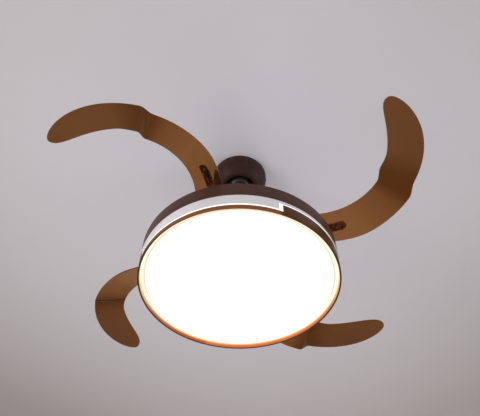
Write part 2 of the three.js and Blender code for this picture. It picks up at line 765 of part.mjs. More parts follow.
// Repeats a shape at every pivot, or turned from there by an offset in degrees.
function atPivots(shape, radius, offset = 0) {
  return Array.from({ length: bladeCount }, (_, k) => {
    const [x, y] = polar(radius, pivotAzimuth + offset - (k * 360) / bladeCount);
    return shape.clone().translate(x, y, 0);
  });
}

// Lower plate, with the raised land that the sync ring turns on.
function carrierLower() {
  const land = sunInner - gap;
  const landFoot = sunInner + 6;
  const landTop = up(gearHeight + gearThickness);
  const floor = up(carrierBottom + carrierPlate);
  const disc = turned([
    [carrierHole, up(carrierBottom)], [carrierRadius, up(carrierBottom)],
    [carrierRadius, floor], [landFoot, floor], [landFoot, up(gearHeight) - gap],
    [land, up(gearHeight) - gap], [land, landTop], [land - 4, landTop],
    [land - 4, floor], [carrierHole, floor],
  ], 36);
  const pinHole = rod(around(pinRadius, 8), up(carrierBottom) - 5, floor + 5, 8);
  return cut(disc, ...atPivots(pinHole, pivotRadius));
}

// Upper plate, with windows that save weight.
function carrierUpper() {
  const disc = ring(carrierHole, carrierRadius, up(upperPlate), up(carrierTop), 36);
  const hubHole = rod(hubRadius + 1, up(upperPlate) - 5, up(carrierTop) + 5, 12);
  const windowMiddle = (motorRadius + sunInner) / 2;
  const windowTool = block(44, 26, 12).translate(windowMiddle, 0, up(upperPlate));
  const windows = Array.from({ length: windowCount }, (_, k) => windowTool.clone()
    .rotateZ(toRadians((360 * k) / windowCount + pivotAzimuth)));
  return cut(disc, ...atPivots(hubHole, pivotRadius), ...windows);
}

const post = rod(postRadius, up(carrierBottom + carrierPlate) + gap, up(upperPlate) - gap, 12);
add('blade_carrier', carrierLower(), zinc);
add('carrier_cover', carrierUpper(), zinc);
atPivots(post, postCircle, 180 / postCount).forEach((solid, k) => {
  add(`spacer_post_${k + 1}`, solid, steel);
});

// ---- Light housing ------------------------------------------------------------------------

function upperShell() {
  const inside = drumRadius - drumWall;
  const ceiling = up(drumTop - drumWall);
  const hole = collarRadius + 24;
  return turned([
    [drumRadius, up(bandTop)], [drumRadius, up(drumTop - drumChamfer)],
    [drumRadius - drumChamfer, up(drumTop)], [hole, up(drumTop)], [hole, ceiling],
    [inside - 1, ceiling], [inside, ceiling - 1], [inside, up(bandTop)],
  ], drumSides);
}

// The side band steps four times round the drum: deep white quarters alternate with deep brown ones.
// Each edge is a height that switches at a step, the lower edge a little before the upper one.
const alongRim = (length) => THREE.MathUtils.radToDeg(length / drumRadius);
const glowTurn = alongRim(glowJog / 2);
const clearTurn = alongRim(gap);
const steps = Array.from({ length: 4 }, (_, k) => stepAzimuth + 90 * k);

// Height of an edge at an azimuth. The quarter after the first step is a deep brown one, and a
// positive shift, in degrees, draws its ends in.
function steppedEdge(low, high, shift) {
  return (azimuth) => (Math.abs(wrap(azimuth - stepAzimuth - 45, 180)) < 45 - shift ? high : low);
}

// A ring whose bottom and top edges may step. Sections stand close on either side of each step.
function steppedRing(inner, outer, bottomEdge, topEdge, shifts) {
  const hair = 0.02;
  const besideSteps = steps.flatMap((step) => shifts.flatMap((shift) =>
    [-hair, hair].map((side) => THREE.MathUtils.euclideanModulo(step + shift + side, 360))));
  const azimuths = [...spread(0, 360, drumSides).slice(0, -1), ...besideSteps].sort((a, b) => a - b);
  const index = [];
  const points = [];
  azimuths.forEach((azimuth, s) => {
    const [bottom, top] = [up(bottomEdge(azimuth)), up(topEdge(azimuth))];
    [[inner, bottom], [outer, bottom], [outer, top], [inner, top]].forEach(([radius, z]) => {
      points.push(...polar(radius, azimuth), z);
    });
    const p = s * 4;
    const q = ((s + 1) % azimuths.length) * 4;
    for (let c = 0; c < 4; c += 1) {
      const d = (c + 1) % 4;
      index.push(p + c, q + d, p + d, p + c, q + c, q + d);
    }
  });
  const geometry = new THREE.BufferGeometry();
  geometry.setAttribute('position', new THREE.Float32BufferAttribute(points, 3));
  geometry.setIndex(index);
  return geometry;
}

const trimEdge = steppedEdge(trimLow, trimTall, glowTurn);
const [whiteLow, whiteTall] = [trimLow + glowGap[0], trimTall + glowGap[1]];
const whiteEdge = steppedEdge(whiteLow, whiteTall, -glowTurn);
const glowFloor = steppedEdge(trimLow + gap, trimTall + gap, glowTurn - clearTurn);
const glowRoof = steppedEdge(whiteLow - gap, whiteTall - gap, clearTurn - glowTurn);
const glowOuter = drumRadius - glowRecess;

add('upper_shell', upperShell(), bronze);
add('white_band', steppedRing(drumRadius - bandWall, drumRadius, whiteEdge, () => bandTop - gap,
  [-glowTurn, glowTurn]), white);
add('lower_trim', steppedRing(lipRadius, drumRadius, () => 0, trimEdge, [-glowTurn, glowTurn]), trimBrown);
add('light_guide', steppedRing(glowOuter - glowDepth, glowOuter, glowFloor, glowRoof,
  [clearTurn - glowTurn, glowTurn - clearTurn]), glow);

// Dished steel pan that everything in the light is fixed to.
function basePan() {
  const rim = drumRadius - drumWall - 2 * gap;
  const floor = up(bandTop);
  const centre = up(panCentreHeight);
  const hole = shaftRadius + 0.4;
  return turned([
    [hole, centre], [panCentreRadius, centre], [panSlopeRadius, floor], [rim, floor],
    [rim, floor + panRim], [rim - sheet, floor + panRim], [rim - sheet, floor + sheet],
    [panSlopeRadius + 1, floor + sheet], [panCentreRadius + 1, centre + sheet], [hole, centre + sheet],
  ], 36);
}

// Aluminium board with two circles of light-emitting chips on its underside.
function ledBoard() {
  const top = up(bandTop) - gap;
  const board = ring(ledBoardHole, ledBoardRadius, top - sheet, top, 24);
  const chips = Array.from({ length: ledCount }, (_, i) => block(...chipSize)
    .translate(ledBoardRadius - ledInset[i % ledInset.length], 0, top - sheet - 1)
    .rotateZ((i * 2 * Math.PI) / ledCount));
  return join(board, ...chips);
}

// Opal disc with a flat border, a slightly bowed middle and an upstand for the catches.
function diffuser() {
  const rim = lipRadius - gap;
  const low = up(lipDepth);
  const border = lipRadius - diffuserMargin;
  const shoulder = low + 1.5;
  return turned([
    [0, low - diffuserCrown], [border - 20, low - diffuserCrown * 0.6], [border, low],
    [rim, shoulder], [rim, low + diffuserFlange], [rim - diffuserWall, low + diffuserFlange],
    [rim - diffuserWall, shoulder + diffuserWall], [border, low + diffuserWall],
    [0, low - diffuserCrown + diffuserWall],
  ], drumSides);
}

// Spring steel catch that hangs from the pan and holds the diffuser's rim.
function diffuserCatch() {
  const strip = 1.2;
  const top = up(bandTop) - gap;
  const foot = up(lipDepth + diffuserFlange) + gap;
  const outside = lipRadius - 2.4;
  const shape = outline([
    [outside, foot], [outside, top], [outside - 16, top], [outside - 16, top - strip],
    [outside - strip, top - strip], [outside - strip, foot + 4], [outside - 5, foot + 2],
    [outside - 4.4, foot + 1], [outside - 1.4, foot],
  ]);
  return plate(shape, -catchWidth / 2, catchWidth).rotateX(Math.PI / 2);
}

// Sealed box on two feet, on top of the pan.
function electronicsBox([length, width, height], y) {
  const footReach = 10;
  const floor = up(bandTop + sheet) + gap;
  const body = block(length, width, height).translate(0, y, floor + height / 2);
  const foot = block(length + 2 * footReach, width / 2, 2).translate(0, y, floor + 1);
  return join(body, foot);
}

add('base_pan', basePan(), white);
add('led_board', ledBoard(), white);
add('diffuser', diffuser(), opal);
add('led_driver', electronicsBox(driverSize, drumRadius - electronicsInset), white);
add('remote_receiver', electronicsBox(receiverSize, electronicsInset - drumRadius), white);
for (let k = 0; k < catchCount; k += 1) {
  const turn = toRadians((k * 360) / catchCount + catchAzimuth);
  add(`diffuser_catch_${k + 1}`, diffuserCatch().rotateZ(turn), steel);
}

// The pan is clamped between a collar on the shaft and a nut under it.
const collarFoot = up(panCentreHeight + sheet) + gap;
const collarHead = up(motorBase - hubReach - 1.5);
const nutFoot = up(shaftFoot + 1);
const nutShape = outline(spread(0, 300, 5).map((turn) => polar(shaftRadius + 7, turn)));
add('shaft_collar', ring(shaftRadius + gap, collarRadius, collarFoot, collarHead, 16), steel);
add('shaft_nut', plate(roundHole(nutShape, around(shaftRadius, 20)), nutFoot,
  up(panCentreHeight) - gap - nutFoot, 10), steel);

export default fan;
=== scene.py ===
import math

import bmesh
import bpy
from mathutils import Matrix, Vector


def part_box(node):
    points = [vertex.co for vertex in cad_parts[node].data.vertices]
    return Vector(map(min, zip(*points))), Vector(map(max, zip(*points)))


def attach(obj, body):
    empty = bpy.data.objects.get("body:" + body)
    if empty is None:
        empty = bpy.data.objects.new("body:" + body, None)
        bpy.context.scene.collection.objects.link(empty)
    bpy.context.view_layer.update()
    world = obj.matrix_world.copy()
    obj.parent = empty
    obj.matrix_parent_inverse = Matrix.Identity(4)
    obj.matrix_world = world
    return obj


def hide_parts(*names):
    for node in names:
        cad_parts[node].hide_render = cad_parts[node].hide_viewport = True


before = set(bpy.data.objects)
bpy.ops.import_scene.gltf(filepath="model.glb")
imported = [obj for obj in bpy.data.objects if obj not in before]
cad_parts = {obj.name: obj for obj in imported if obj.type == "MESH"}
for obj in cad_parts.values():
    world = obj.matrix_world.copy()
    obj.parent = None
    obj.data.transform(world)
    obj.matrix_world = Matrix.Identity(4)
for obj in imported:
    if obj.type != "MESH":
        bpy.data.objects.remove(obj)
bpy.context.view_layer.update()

# ---- Camera -------------------------------------------------------------------------------
# The photograph looks up at the fan from in front and below, with the near side of the drum at
# the top of the picture.

scene = bpy.context.scene
scene.view_settings.view_transform = "Standard"

look_up = math.radians(51.03)
look_left = math.radians(0.05)
camera_roll = math.radians(0.18)
camera_place = Vector((0.0017, -0.9544, -1.3276))
camera_data = bpy.data.cameras.new("camera")
camera_data.sensor_width = 36
camera_data.lens = 40.95
camera = bpy.data.objects.new("camera", camera_data)
camera.matrix_world = (Matrix.Translation(camera_place)
                       @ Matrix.Rotation(look_left, 4, "Z")
                       @ Matrix.Rotation(math.radians(90) + look_up, 4, "X")
                       @ Matrix.Rotation(camera_roll, 4, "Z"))
scene.collection.objects.link(camera)
scene.camera = camera

# ---- Stage --------------------------------------------------------------------------------
# A pale ceiling board for the fan to hang from, seen only from below, a pale floor at room
# height under it, and soft studio light.


def new_material(name):
    """A new material and its empty node tree."""
    material = bpy.data.materials.new(name)
    material.use_nodes = True
    material.node_tree.nodes.clear()
    return material, material.node_tree


def wired(tree, kind, sockets=None, **settings):
    """Adds a node. Each of its sockets is set to a value, or linked where an output is given."""
    node = tree.nodes.new("ShaderNode" + kind)
    for name, value in settings.items():
        setattr(node, name, value)
    for socket, value in (sockets or {}).items():
        if isinstance(value, bpy.types.NodeSocket):
            tree.links.new(value, node.inputs[socket])
        else:
            node.inputs[socket].default_value = value
    return node


def ramped(tree, value, stops):
    """Colours along a value, from pairs of place and colour."""
    ramp = wired(tree, "ValToRGB", {"Fac": value})
    elements = ramp.color_ramp.elements
    while len(elements) < len(stops):
        elements.new(0.5)
    for element, (place, colour) in zip(elements, stops):
        element.position = place
        element.color = (*colour, 1)
    return ramp.outputs["Color"]


def stage_board(name, height, size, facing_up, material):
    mesh = bmesh.new()
    bmesh.ops.create_grid(mesh, x_segments=1, y_segments=1, size=size / 2)
    bmesh.ops.translate(mesh, vec=(0, 0, height), verts=mesh.verts)
    if not facing_up:
        bmesh.ops.reverse_faces(mesh, faces=mesh.faces)
    data = bpy.data.meshes.new(name)
    mesh.to_mesh(data)
    mesh.free()
    data.materials.append(material)
    board = bpy.data.objects.new(name, data)
    scene.collection.objects.link(board)


ceiling_clearance = 0.0005
room_height = 2.6
fade_length = 1.6  # over which the ceiling is painted darker away from the fan, as painted shade for its light falling off

plaster, tree = new_material("ceiling_plaster")
coords = wired(tree, "TexCoord")
distance = wired(tree, "VectorMath", {0: coords.outputs["Object"]}, operation="LENGTH")
reach = wired(tree, "Math", {0: distance.outputs["Value"], 1: fade_length}, operation="DIVIDE")
# painted shade: the ceiling's colour darkens with distance from the fan
painted_falloff = ramped(tree, reach.outputs[0], ((0, (0.79, 0.785, 0.85)), (1, (0.36, 0.32, 0.31))))
matt = wired(tree, "BsdfDiffuse", {"Color": painted_falloff})
clear = wired(tree, "BsdfTransparent")
facing = wired(tree, "NewGeometry")
either = wired(tree, "MixShader", {"Fac": facing.outputs["Backfacing"], 1: matt.outputs[0],
                                   2: clear.outputs[0]})
wired(tree, "OutputMaterial", {"Surface": either.outputs[0]})
stage_board("ceiling_board", ceiling_clearance, 7, False, plaster)

floor_paint, tree = new_material("floor_paint")
matt = wired(tree, "BsdfDiffuse", {"Color": (0.8, 0.79, 0.78, 1)})
wired(tree, "OutputMaterial", {"Surface": matt.outputs[0]})
stage_board("floor", -room_height, 14, True, floor_paint)

world = bpy.data.worlds.new("studio")
scene.world = world
world.use_nodes = True
tree = world.node_tree
tree.nodes.clear()
backdrop = wired(tree, "Background", {"Color": (0.86, 0.85, 0.86, 1)})
ambient = wired(tree, "Background", {"Color": (1, 0.985, 0.98, 1), "Strength": 0.78})
rays = wired(tree, "LightPath")
either = wired(tree, "MixShader", {"Fac": rays.outputs["Is Camera Ray"], 1: ambient.outputs[0],
                                   2: backdrop.outputs[0]})
wired(tree, "OutputWorld", {"Surface": either.outputs[0]})


def softbox(name, place, aim, size, watts, colour):
    data = bpy.data.lights.new(name, "AREA")
    data.shape = "RECTANGLE"
    data.size, data.size_y = size
    data.energy = watts
    data.color = colour
    lamp = bpy.data.objects.new(name, data)
    direction = Vector(aim) - Vector(place)
    turn = direction.to_track_quat("-Z", "Y").to_matrix().to_4x4()
    lamp.matrix_world = Matrix.Translation(place) @ turn
    scene.collection.objects.link(lamp)
    return lamp


fan_middle = (0, 0, -0.25)
softbox("window_light", (-2.6, -1.6, -1.1), fan_middle, (1.6, 1.2), 42, (1, 0.98, 0.96))
softbox("fill_light", (2.8, -0.6, -0.7), fan_middle, (1.4, 1.0), 24, (0.97, 0.98, 1))
back_light = softbox("back_light", (0.6, 2.9, -0.7), fan_middle, (1.8, 0.8), 26, (1, 0.99, 0.98))
back_light.visible_glossy = False

# ---- Canopy -------------------------------------------------------------------------------
# Spun steel cup, painted satin dark bronze, that closes against the ceiling. Its wide mouth
# leaves room for the hanging rod to swing.

mm = 0.001  # pieces are drawn in millimetres and brought to metres when they are finished
gap = 0.3  # between pieces that touch


def span(node):
    """Lowest and highest corner of a node of the frame, in millimetres."""
    low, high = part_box(node)
    return Vector(low) / mm, Vector(high) / mm


def rounded(corners, ease, steps):
    """A closed profile with eased corners. A corner is (radius, height), or has its own ease third."""
    points = []
    for i, (radius, height, *own) in enumerate(corners):
        here = Vector((radius, height))
        before = Vector(corners[i - 1][:2]) - here
        after = Vector(corners[(i + 1) % len(corners)][:2]) - here
        size = own[0] if own else ease
        half = before.angle(after) / 2
        straight = half > math.radians(89)
        if radius == 0 or size == 0 or straight:
            points.append(here)
            continue
        reach = min(size / math.tan(half), before.length * 0.48, after.length * 0.48)
        middle = (before.normalized() + after.normalized()).normalized()
        centre = here + middle * (reach / math.cos(half))
        first = here + before.normalized() * reach - centre
        last = here + after.normalized() * reach - centre
        start = math.atan2(first.y, first.x)
        turn = math.remainder(math.atan2(last.y, last.x) - start, math.tau)
        for s in range(steps + 1):
            angle = start + turn * s / steps
            points.append(centre + first.length * Vector((math.cos(angle), math.sin(angle))))
    return points


def turned(corners, sides=96, ease=0.4, steps=4):
    """Spins a profile about Z. A solid piece's profile starts and ends on the axis."""
    mesh = bmesh.new()
    knots = [mesh.verts.new((point.x, 0, point.y)) for point in rounded(corners, ease, steps)]
    for a, b in zip(knots, knots[1:] + knots[:1]):
        if a.co.x > 0 or b.co.x > 0:
            mesh.edges.new((a, b))
    bmesh.ops.spin(mesh, geom=mesh.verts[:] + mesh.edges[:], axis=(0, 0, 1), cent=(0, 0, 0),
                   angle=math.tau, steps=sides, use_merge=True)
    return tidied(mesh)


def tidied(mesh):
    bmesh.ops.remove_doubles(mesh, verts=mesh.verts, dist=0.001)
    bmesh.ops.recalc_face_normals(mesh, faces=mesh.faces)
    return mesh


def moved(mesh, x=0, y=0, z=0):
    bmesh.ops.translate(mesh, vec=(x, y, z), verts=mesh.verts)
    return mesh


def rotated(mesh, degrees, axis="Z", centre=(0, 0, 0)):
    bmesh.ops.rotate(mesh, cent=centre, matrix=Matrix.Rotation(math.radians(degrees), 3, axis),
                     verts=mesh.verts)
    return mesh


def finished(mesh, name, material, slot, *nodes, body="hanging_unit", sharp=35):
    """Makes a piece of the working mesh, which rides on a body and stands for its CAD nodes."""
    tidied(mesh)
    bmesh.ops.scale(mesh, vec=(mm, mm, mm), verts=mesh.verts)
    data = bpy.data.meshes.new(name)
    mesh.to_mesh(data)
    mesh.free()
    data.shade_smooth()
    data.set_sharp_from_angle(angle=math.radians(sharp))
    data.materials.append(material)
    piece = bpy.data.objects.new(name, data)
    scene.collection.objects.link(piece)
    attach(piece, body)
    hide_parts(*nodes)
    return piece


def mask_range(tree, value, low, high, start=0.3, end=0.7):
    """Turns a mask that runs from start to end into one that runs from low to high."""
    return wired(tree, "MapRange", {"Value": value, "From Min": start, "From Max": end,
                                    "To Min": low, "To Max": high}).outputs["Result"]


def colour_mix(tree, mask, first, second):
    """Mixes two colours by a mask. Either may be an output."""
    first, second = ((*colour, 1) if isinstance(colour, tuple) else colour for colour in (first, second))
    return wired(tree, "Mix", {"Factor": mask, "A": first, "B": second}, data_type="RGBA").outputs["Result"]


def both(tree, first, second):
    """A mask of where two masks are."""
    return wired(tree, "Math", {0: first, 1: second}, operation="MULTIPLY").outputs[0]


def times(tree, first, second):
    """The product of two places or colours, part by part."""
    return wired(tree, "VectorMath", {0: first, 1: second}, operation="MULTIPLY").outputs[0]


def surface_film():
    """Group of masks: slow mottle of a finish, its fine grain, and dust on what faces up."""
    group = bpy.data.node_groups.new("surface_film", "ShaderNodeTree")
    for direction, names in (("INPUT", ("Mottle Scale", "Grain Scale", "Grain Stretch", "Dust")),
                             ("OUTPUT", ("Mottle", "Grain", "Dust Mask"))):
        for name in names:
            group.interface.new_socket(name=name, in_out=direction, socket_type="NodeSocketFloat")
    given = group.nodes.new("NodeGroupInput").outputs
    result = group.nodes.new("NodeGroupOutput")
    coords = wired(group, "TexCoord").outputs
    stretch = wired(group, "CombineXYZ", {"X": 1, "Y": 1, "Z": given["Grain Stretch"]})
    drawn = times(group, coords["Object"], stretch.outputs[0])
    mottle, grain = (
        wired(group, "TexNoise", {"Vector": source, "Scale": given[layer + " Scale"],
                                  "Detail": detail}).outputs["Fac"]
        for layer, source, detail in (("Mottle", coords["Object"], 4), ("Grain", drawn, 2)))
    upright = wired(group, "SeparateXYZ", {0: coords["Normal"]}).outputs["Z"]
    settled = both(group, mask_range(group, upright, 0, 1, 0.75, 1),
                   mask_range(group, mottle, 0.35, 1, 0.35, 0.65))
    dust = both(group, settled, given["Dust"])
    for name, mask in (("Mottle", mottle), ("Grain", grain), ("Dust Mask", dust)):
        group.links.new(mask, result.inputs[name])
    return group


film = surface_film()
dust_grey = (0.36, 0.34, 0.32)


def film_on(tree, mottle_scale, grain_scale, stretch, dust):
    """The film's masks at the scale of one finish."""
    return wired(tree, "Group", {"Mottle Scale": mottle_scale, "Grain Scale": grain_scale,
                                 "Grain Stretch": stretch, "Dust": dust}, node_tree=film).outputs


def bumped(tree, height, depth, strength=0.5):
    """A normal with a relief in it, whose depth is in millimetres."""
    return wired(tree, "Bump", {"Height": height, "Distance": depth * mm,
                                "Strength": strength}).outputs["Normal"]


def shaded(tree, sockets):
    """The material's own shader, put on its output."""
    shader = wired(tree, "BsdfPrincipled", sockets)
    wired(tree, "OutputMaterial", {"Surface": shader.outputs[0]})


def coating(name, colour, rough, metallic=0.0, mottle=0.1, mottle_scale=28, grain=900, stretch=1.0,
            relief=0.02, dust=0.3, coat=0.0, specular=0.5):
    """Paint, moulding or bare metal with uneven tone and gloss, a grain with some relief, and dust."""
    material, tree = new_material(name)
    skin = film_on(tree, mottle_scale, grain, stretch, dust)
    darker = tuple(c * (1 - mottle) for c in colour)
    lighter = tuple(min(c * (1 + mottle), 1) for c in colour)
    tone = colour_mix(tree, mask_range(tree, skin["Mottle"], 0, 1), darker, lighter)
    shaded(tree, {
        "Base Color": colour_mix(tree, skin["Dust Mask"], tone, dust_grey), "Metallic": metallic,
        "Roughness": mask_range(tree, skin["Grain"], rough * 0.85, rough * 1.15),
        "Specular IOR Level": specular, "Coat Weight": coat, "Coat Roughness": 0.15,
        "Normal": bumped(tree, skin["Grain"], relief)})
    return material


# painted shade: a darker copy of the drum's bronze paint, for the canopy and the parts that share its paint
shaded_bronze_paint = coating("shaded_bronze_paint", (0.036, 0.0155, 0.0125), 0.48, grain=700, relief=0.012, specular=0.12)

low, high = span("canopy")
canopy_radius = high.x
canopy_mouth = 45
sheet = 1.5
inside = canopy_radius - sheet
lip_foot = high.z - 19
haunch = 68
haunch_height = low.z + 15
foot = 53
canopy = turned([
    (canopy_radius, high.z, 0.6), (canopy_radius, lip_foot, 2.5), (haunch, haunch_height, 60),
    (foot, low.z, 12), (canopy_mouth, low.z, 0.7), (canopy_mouth, low.z + sheet, 0.7),
    (foot - 0.5, low.z + sheet, 11), (haunch - sheet, haunch_height + 0.5, 58),
    (inside, lip_foot + 0.5, 1.5), (inside, high.z, 0.6),
], sides=144, steps=6)
finished(canopy, "canopy_cup", shaded_bronze_paint, "bronze", "canopy", body="ceiling_mount", sharp=50)

# ---- Canopy screws ------------------------------------------------------------------------
# Two small pan-head steel screws, painted like the canopy, that enter the bracket's ears from
# the sides. The heads have a cross recess.


def carved(mesh, tool, operation="DIFFERENCE"):
    """Cuts one closed working mesh with another, or joins them."""
    solids = []
    for part in (mesh, tool):
        data = bpy.data.meshes.new("blank")
        tidied(part).to_mesh(data)
        part.free()
        solids.append(bpy.data.objects.new("blank", data))
        scene.collection.objects.link(solids[-1])
    cut = solids[0].modifiers.new("cut", "BOOLEAN")
    cut.operation = operation
    cut.solver = "EXACT"
    cut.object = solids[1]
    result = bmesh.new()
    result.from_object(solids[0], bpy.context.evaluated_depsgraph_get())
    for solid in solids:
        bpy.data.meshes.remove(solid.data)
    return result


def bevelled(mesh, edges, ease, segments):
    bmesh.ops.bevel(mesh, geom=edges, offset=ease, segments=segments, affect="EDGES", profile=0.5,
                    material=-1, clamp_overlap=True)
    return mesh


def block(length, width, height, ease=0.0, segments=2):
    """A box about the origin, with its edges eased."""
    mesh = bmesh.new()
    bmesh.ops.create_cube(mesh, size=1)
    bmesh.ops.scale(mesh, vec=(length, width, height), verts=mesh.verts)
    return bevelled(mesh, mesh.edges[:], ease, segments) if ease else mesh


low, high = span("canopy_screw_right")
screw_height = (low.z + high.z) / 2
screw_tip = low.x
head_radius = 4
head_foot = canopy_radius + gap
head_top = head_foot + 1.3
shank = 2
thread_depth = 0.35
thread_pitch = 0.8
thread = []
for turn in range(int((head_foot - screw_tip - 1) / thread_pitch)):
    root = screw_tip + 0.6 + turn * thread_pitch
    thread += [(shank - thread_depth, root), (shank, root + thread_pitch / 2)]
for side, name in ((1, "right"), (-1, "left")):
    screw = turned([
        (0, screw_tip), (shank - 0.7, screw_tip), *thread, (shank - thread_depth, head_foot - 0.3),
        (shank, head_foot), (head_radius, head_foot), (head_radius, head_foot + 0.5),
        (head_radius - 1.4, head_top - 0.2), (0, head_top),
    ], sides=32, ease=0.12, steps=2)
    for turn in (0, 90):
        recess = moved(block(4.2, 0.8, 2, 0.15), z=head_top)
        screw = carved(screw, rotated(recess, turn))
    moved(rotated(screw, side * 90, "Y"), z=screw_height)
    finished(screw, "screw_" + name, shaded_bronze_paint, "bronze", "canopy_screw_" + name, body="ceiling_mount")

# ---- Ceiling bracket ----------------------------------------------------------------------
# Pressed steel plate, coated black, with two arms that carry the open socket for the hanging
# ball, slots for the ceiling screws and turned-down ears for the canopy screws.


def eased_edges(mesh, ease, sharp=25, segments=2, shortest=0):
    """Rounds the edges that turn more than an angle, once edges under a length are closed up."""
    if shortest:
        bmesh.ops.dissolve_degenerate(mesh, dist=shortest, edges=mesh.edges)
    edges = [e for e in mesh.edges
             if len(e.link_faces) == 2 and e.calc_face_angle() > math.radians(sharp)]
    return bevelled(mesh, edges, ease, segments)


def eased_node(node, ease):
    """A working copy of a node of the frame with flat faces made whole and its edges eased."""
    mesh = bmesh.new()
    mesh.from_mesh(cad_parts[node].data)
    bmesh.ops.scale(mesh, vec=(1 / mm, 1 / mm, 1 / mm), verts=mesh.verts)
    bmesh.ops.remove_doubles(mesh, verts=mesh.verts, dist=0.005)
    bmesh.ops.dissolve_limit(mesh, angle_limit=math.radians(0.5), verts=mesh.verts, edges=mesh.edges)
    return eased_edges(mesh, ease)


black_steel = coating("black_steel", (0.024, 0.018, 0.015), 0.42, mottle=0.2, mottle_scale=60, grain=500,
                      relief=0.015, specular=0.4)

finished(eased_node("ceiling_bracket", 0.5), "bracket_pressing", black_steel, "black_steel",
         "ceiling_bracket", body="ceiling_mount")

# ---- Hanging ball and cross pin -----------------------------------------------------------
# Cast ball, flattened at the top, on the upper end of the rod. A plain steel pin goes through
# ball and rod, and the ball rests in the bracket's socket.

cast_alloy = coating("cast_alloy", (0.050, 0.040, 0.034), 0.5, metallic=0.6, mottle=0.2, mottle_scale=45,
                     grain=1100, relief=0.06)
bright_steel = coating("bright_steel", (0.58, 0.58, 0.59), 0.28, metallic=1, mottle=0.06, grain=160,
                       stretch=30, relief=0.004)


def rod(radius, length, ease=0.5, sides=32):
    """A solid pin along Z about the origin, with eased ends."""
    half = length / 2
    return turned([(0, -half), (radius, -half), (radius, half), (0, half)], sides=sides, ease=ease)


def lying_pin(radius, length, axis, height, ease=0.5):
    """A pin across the fan's axis, turned down from Z about a level one."""
    return moved(rotated(rod(radius, length, ease), 90, axis), z=height)


def cross_drilled(mesh, radius, axis, height):
    """Drills right through for a pin of a radius."""
    return carved(mesh, lying_pin(radius + gap, 120, axis, height))


low, high = span("hanger_ball")
ball_radius = high.x
ball_middle = high.z - 20
rod_radius = span("downrod")[1].x
ball_bore = rod_radius + gap
zone_steps = 20
lowest = math.asin((low.z - ball_middle) / ball_radius)
highest = math.asin((high.z - ball_middle) / ball_radius)
zone = [(ball_radius * math.cos(a), ball_middle + ball_radius * math.sin(a), 0)
        for a in (lowest + (highest - lowest) * i / zone_steps for i in range(zone_steps + 1))]
ball = turned([(ball_bore, low.z), *zone, (ball_bore, high.z)], sides=72)
low, high = span("cross_pin")
pin_height = (low.z + high.z) / 2
pin_radius = (high.z - low.z) / 2
ball = eased_edges(cross_drilled(ball, pin_radius, "Y", pin_height), 0.3, 50, shortest=0.2)
finished(ball, "cast_ball", cast_alloy, "cast_alloy", "hanger_ball")
finished(lying_pin(pin_radius, high.x - low.x, "Y", pin_height, 0.8), "ball_pin", bright_steel, "steel",
         "cross_pin")

# ---- Downrod and coupling -----------------------------------------------------------------
# Painted steel tube that stands in a turned coupling on the motor's shaft, where a cross pin
# holds it. A spun bell, painted like the canopy, slides down the rod over the joint.

low, high = span("downrod")
rod_foot = low.z - gap
rod_bore = rod_radius - 3
tube = turned([(rod_bore, low.z), (rod_radius, low.z), (rod_radius, high.z), (rod_bore, high.z)],
              sides=64, ease=0.6)
tube = cross_drilled(tube, pin_radius, "Y", pin_height)
low, high = span("coupling_pin")
joint_radius = (high.z - low.z) / 2
joint_length = high.y - low.y
joint_height = (low.z + high.z) / 2
finished(cross_drilled(tube, joint_radius, "X", joint_height), "rod_tube", shaded_bronze_paint, "bronze", "downrod")

low, high = span("coupling")
collar = high.x - 8
shaft_radius = span("motor_shaft")[1].x
shaft_hole = shaft_radius + gap
coupling = turned([
    (shaft_hole, low.z), (high.x, low.z), (high.x, low.z + 4), (collar, low.z + 7, 2),
    (collar, high.z, 1.2), (ball_bore, high.z), (ball_bore, rod_foot), (shaft_hole, rod_foot),
], sides=72)
finished(cross_drilled(coupling, joint_radius, "X", joint_height), "rod_coupling", cast_alloy, "cast_alloy",
         "coupling")
finished(lying_pin(joint_radius, joint_length, "X", joint_height, 0.6), "rod_pin", bright_steel, "steel",
         "coupling_pin")

low, high = span("coupling_cover")
outer = high.x
neck = ball_bore
waist = outer - 5
sheet = 2
bell = turned([
    (outer, low.z), (outer, low.z + 16, 20), (waist, low.z + 38, 14), (neck + 9, high.z - 8, 6),
    (neck + 4, high.z, 2.2), (neck, high.z), (neck, high.z - 4), (neck + 7, high.z - 9, 5),
    (waist - sheet, low.z + 37, 12), (outer - sheet, low.z + 16, 18), (outer - sheet, low.z),
], sides=96, steps=7)
finished(bell, "rod_bell", shaded_bronze_paint, "bronze", "coupling_cover", sharp=50)

# ---- Motor shaft and bearings -------------------------------------------------------------
# The hollow steel shaft stands still, carries the light at its foot and passes the light's
# wires. Two shielded ball bearings let the motor's housing turn round it.

low, high = span("motor_shaft")
shaft_bore = shaft_radius - 4
thread_pitch = 1.25
thread = []
for turn in range(10):
    root = low.z + 1 + turn * thread_pitch
    thread += [(shaft_radius - 0.7, root, 0), (shaft_radius, root + 0.6, 0)]
shaft = turned([(shaft_bore, low.z), *thread, (shaft_radius, low.z + 14, 0), (shaft_radius, high.z),
                (shaft_bore, high.z)], sides=64, ease=0.6)
finished(cross_drilled(shaft, joint_radius, "X", joint_height), "hollow_shaft", bright_steel, "steel",
         "motor_shaft")

race = 1.9
for name in ("lower_bearing", "upper_bearing"):
    low, high = span(name)
    inner, outer = shaft_hole, high.x
    face = [(inner, 0), (inner + race, 0), (inner + race + 0.3, 0.5, 0), (outer - race - 0.3, 0.5, 0),
            (outer - race, 0), (outer, 0)]
    bearing = turned([(radius, low.z + depth, *ease) for radius, depth, *ease in face]
                     + [(radius, high.z - depth, *ease) for radius, depth, *ease in reversed(face)],
                     sides=72, ease=0.35, steps=3)
    finished(bearing, name.replace("_", "_ball_"), bright_steel, "steel", name)

# ---- Stator -------------------------------------------------------------------------------
# A stack of steel laminations with twelve poles, each wound with enamelled copper wire. It is
# fixed on the still shaft inside the turning housing.


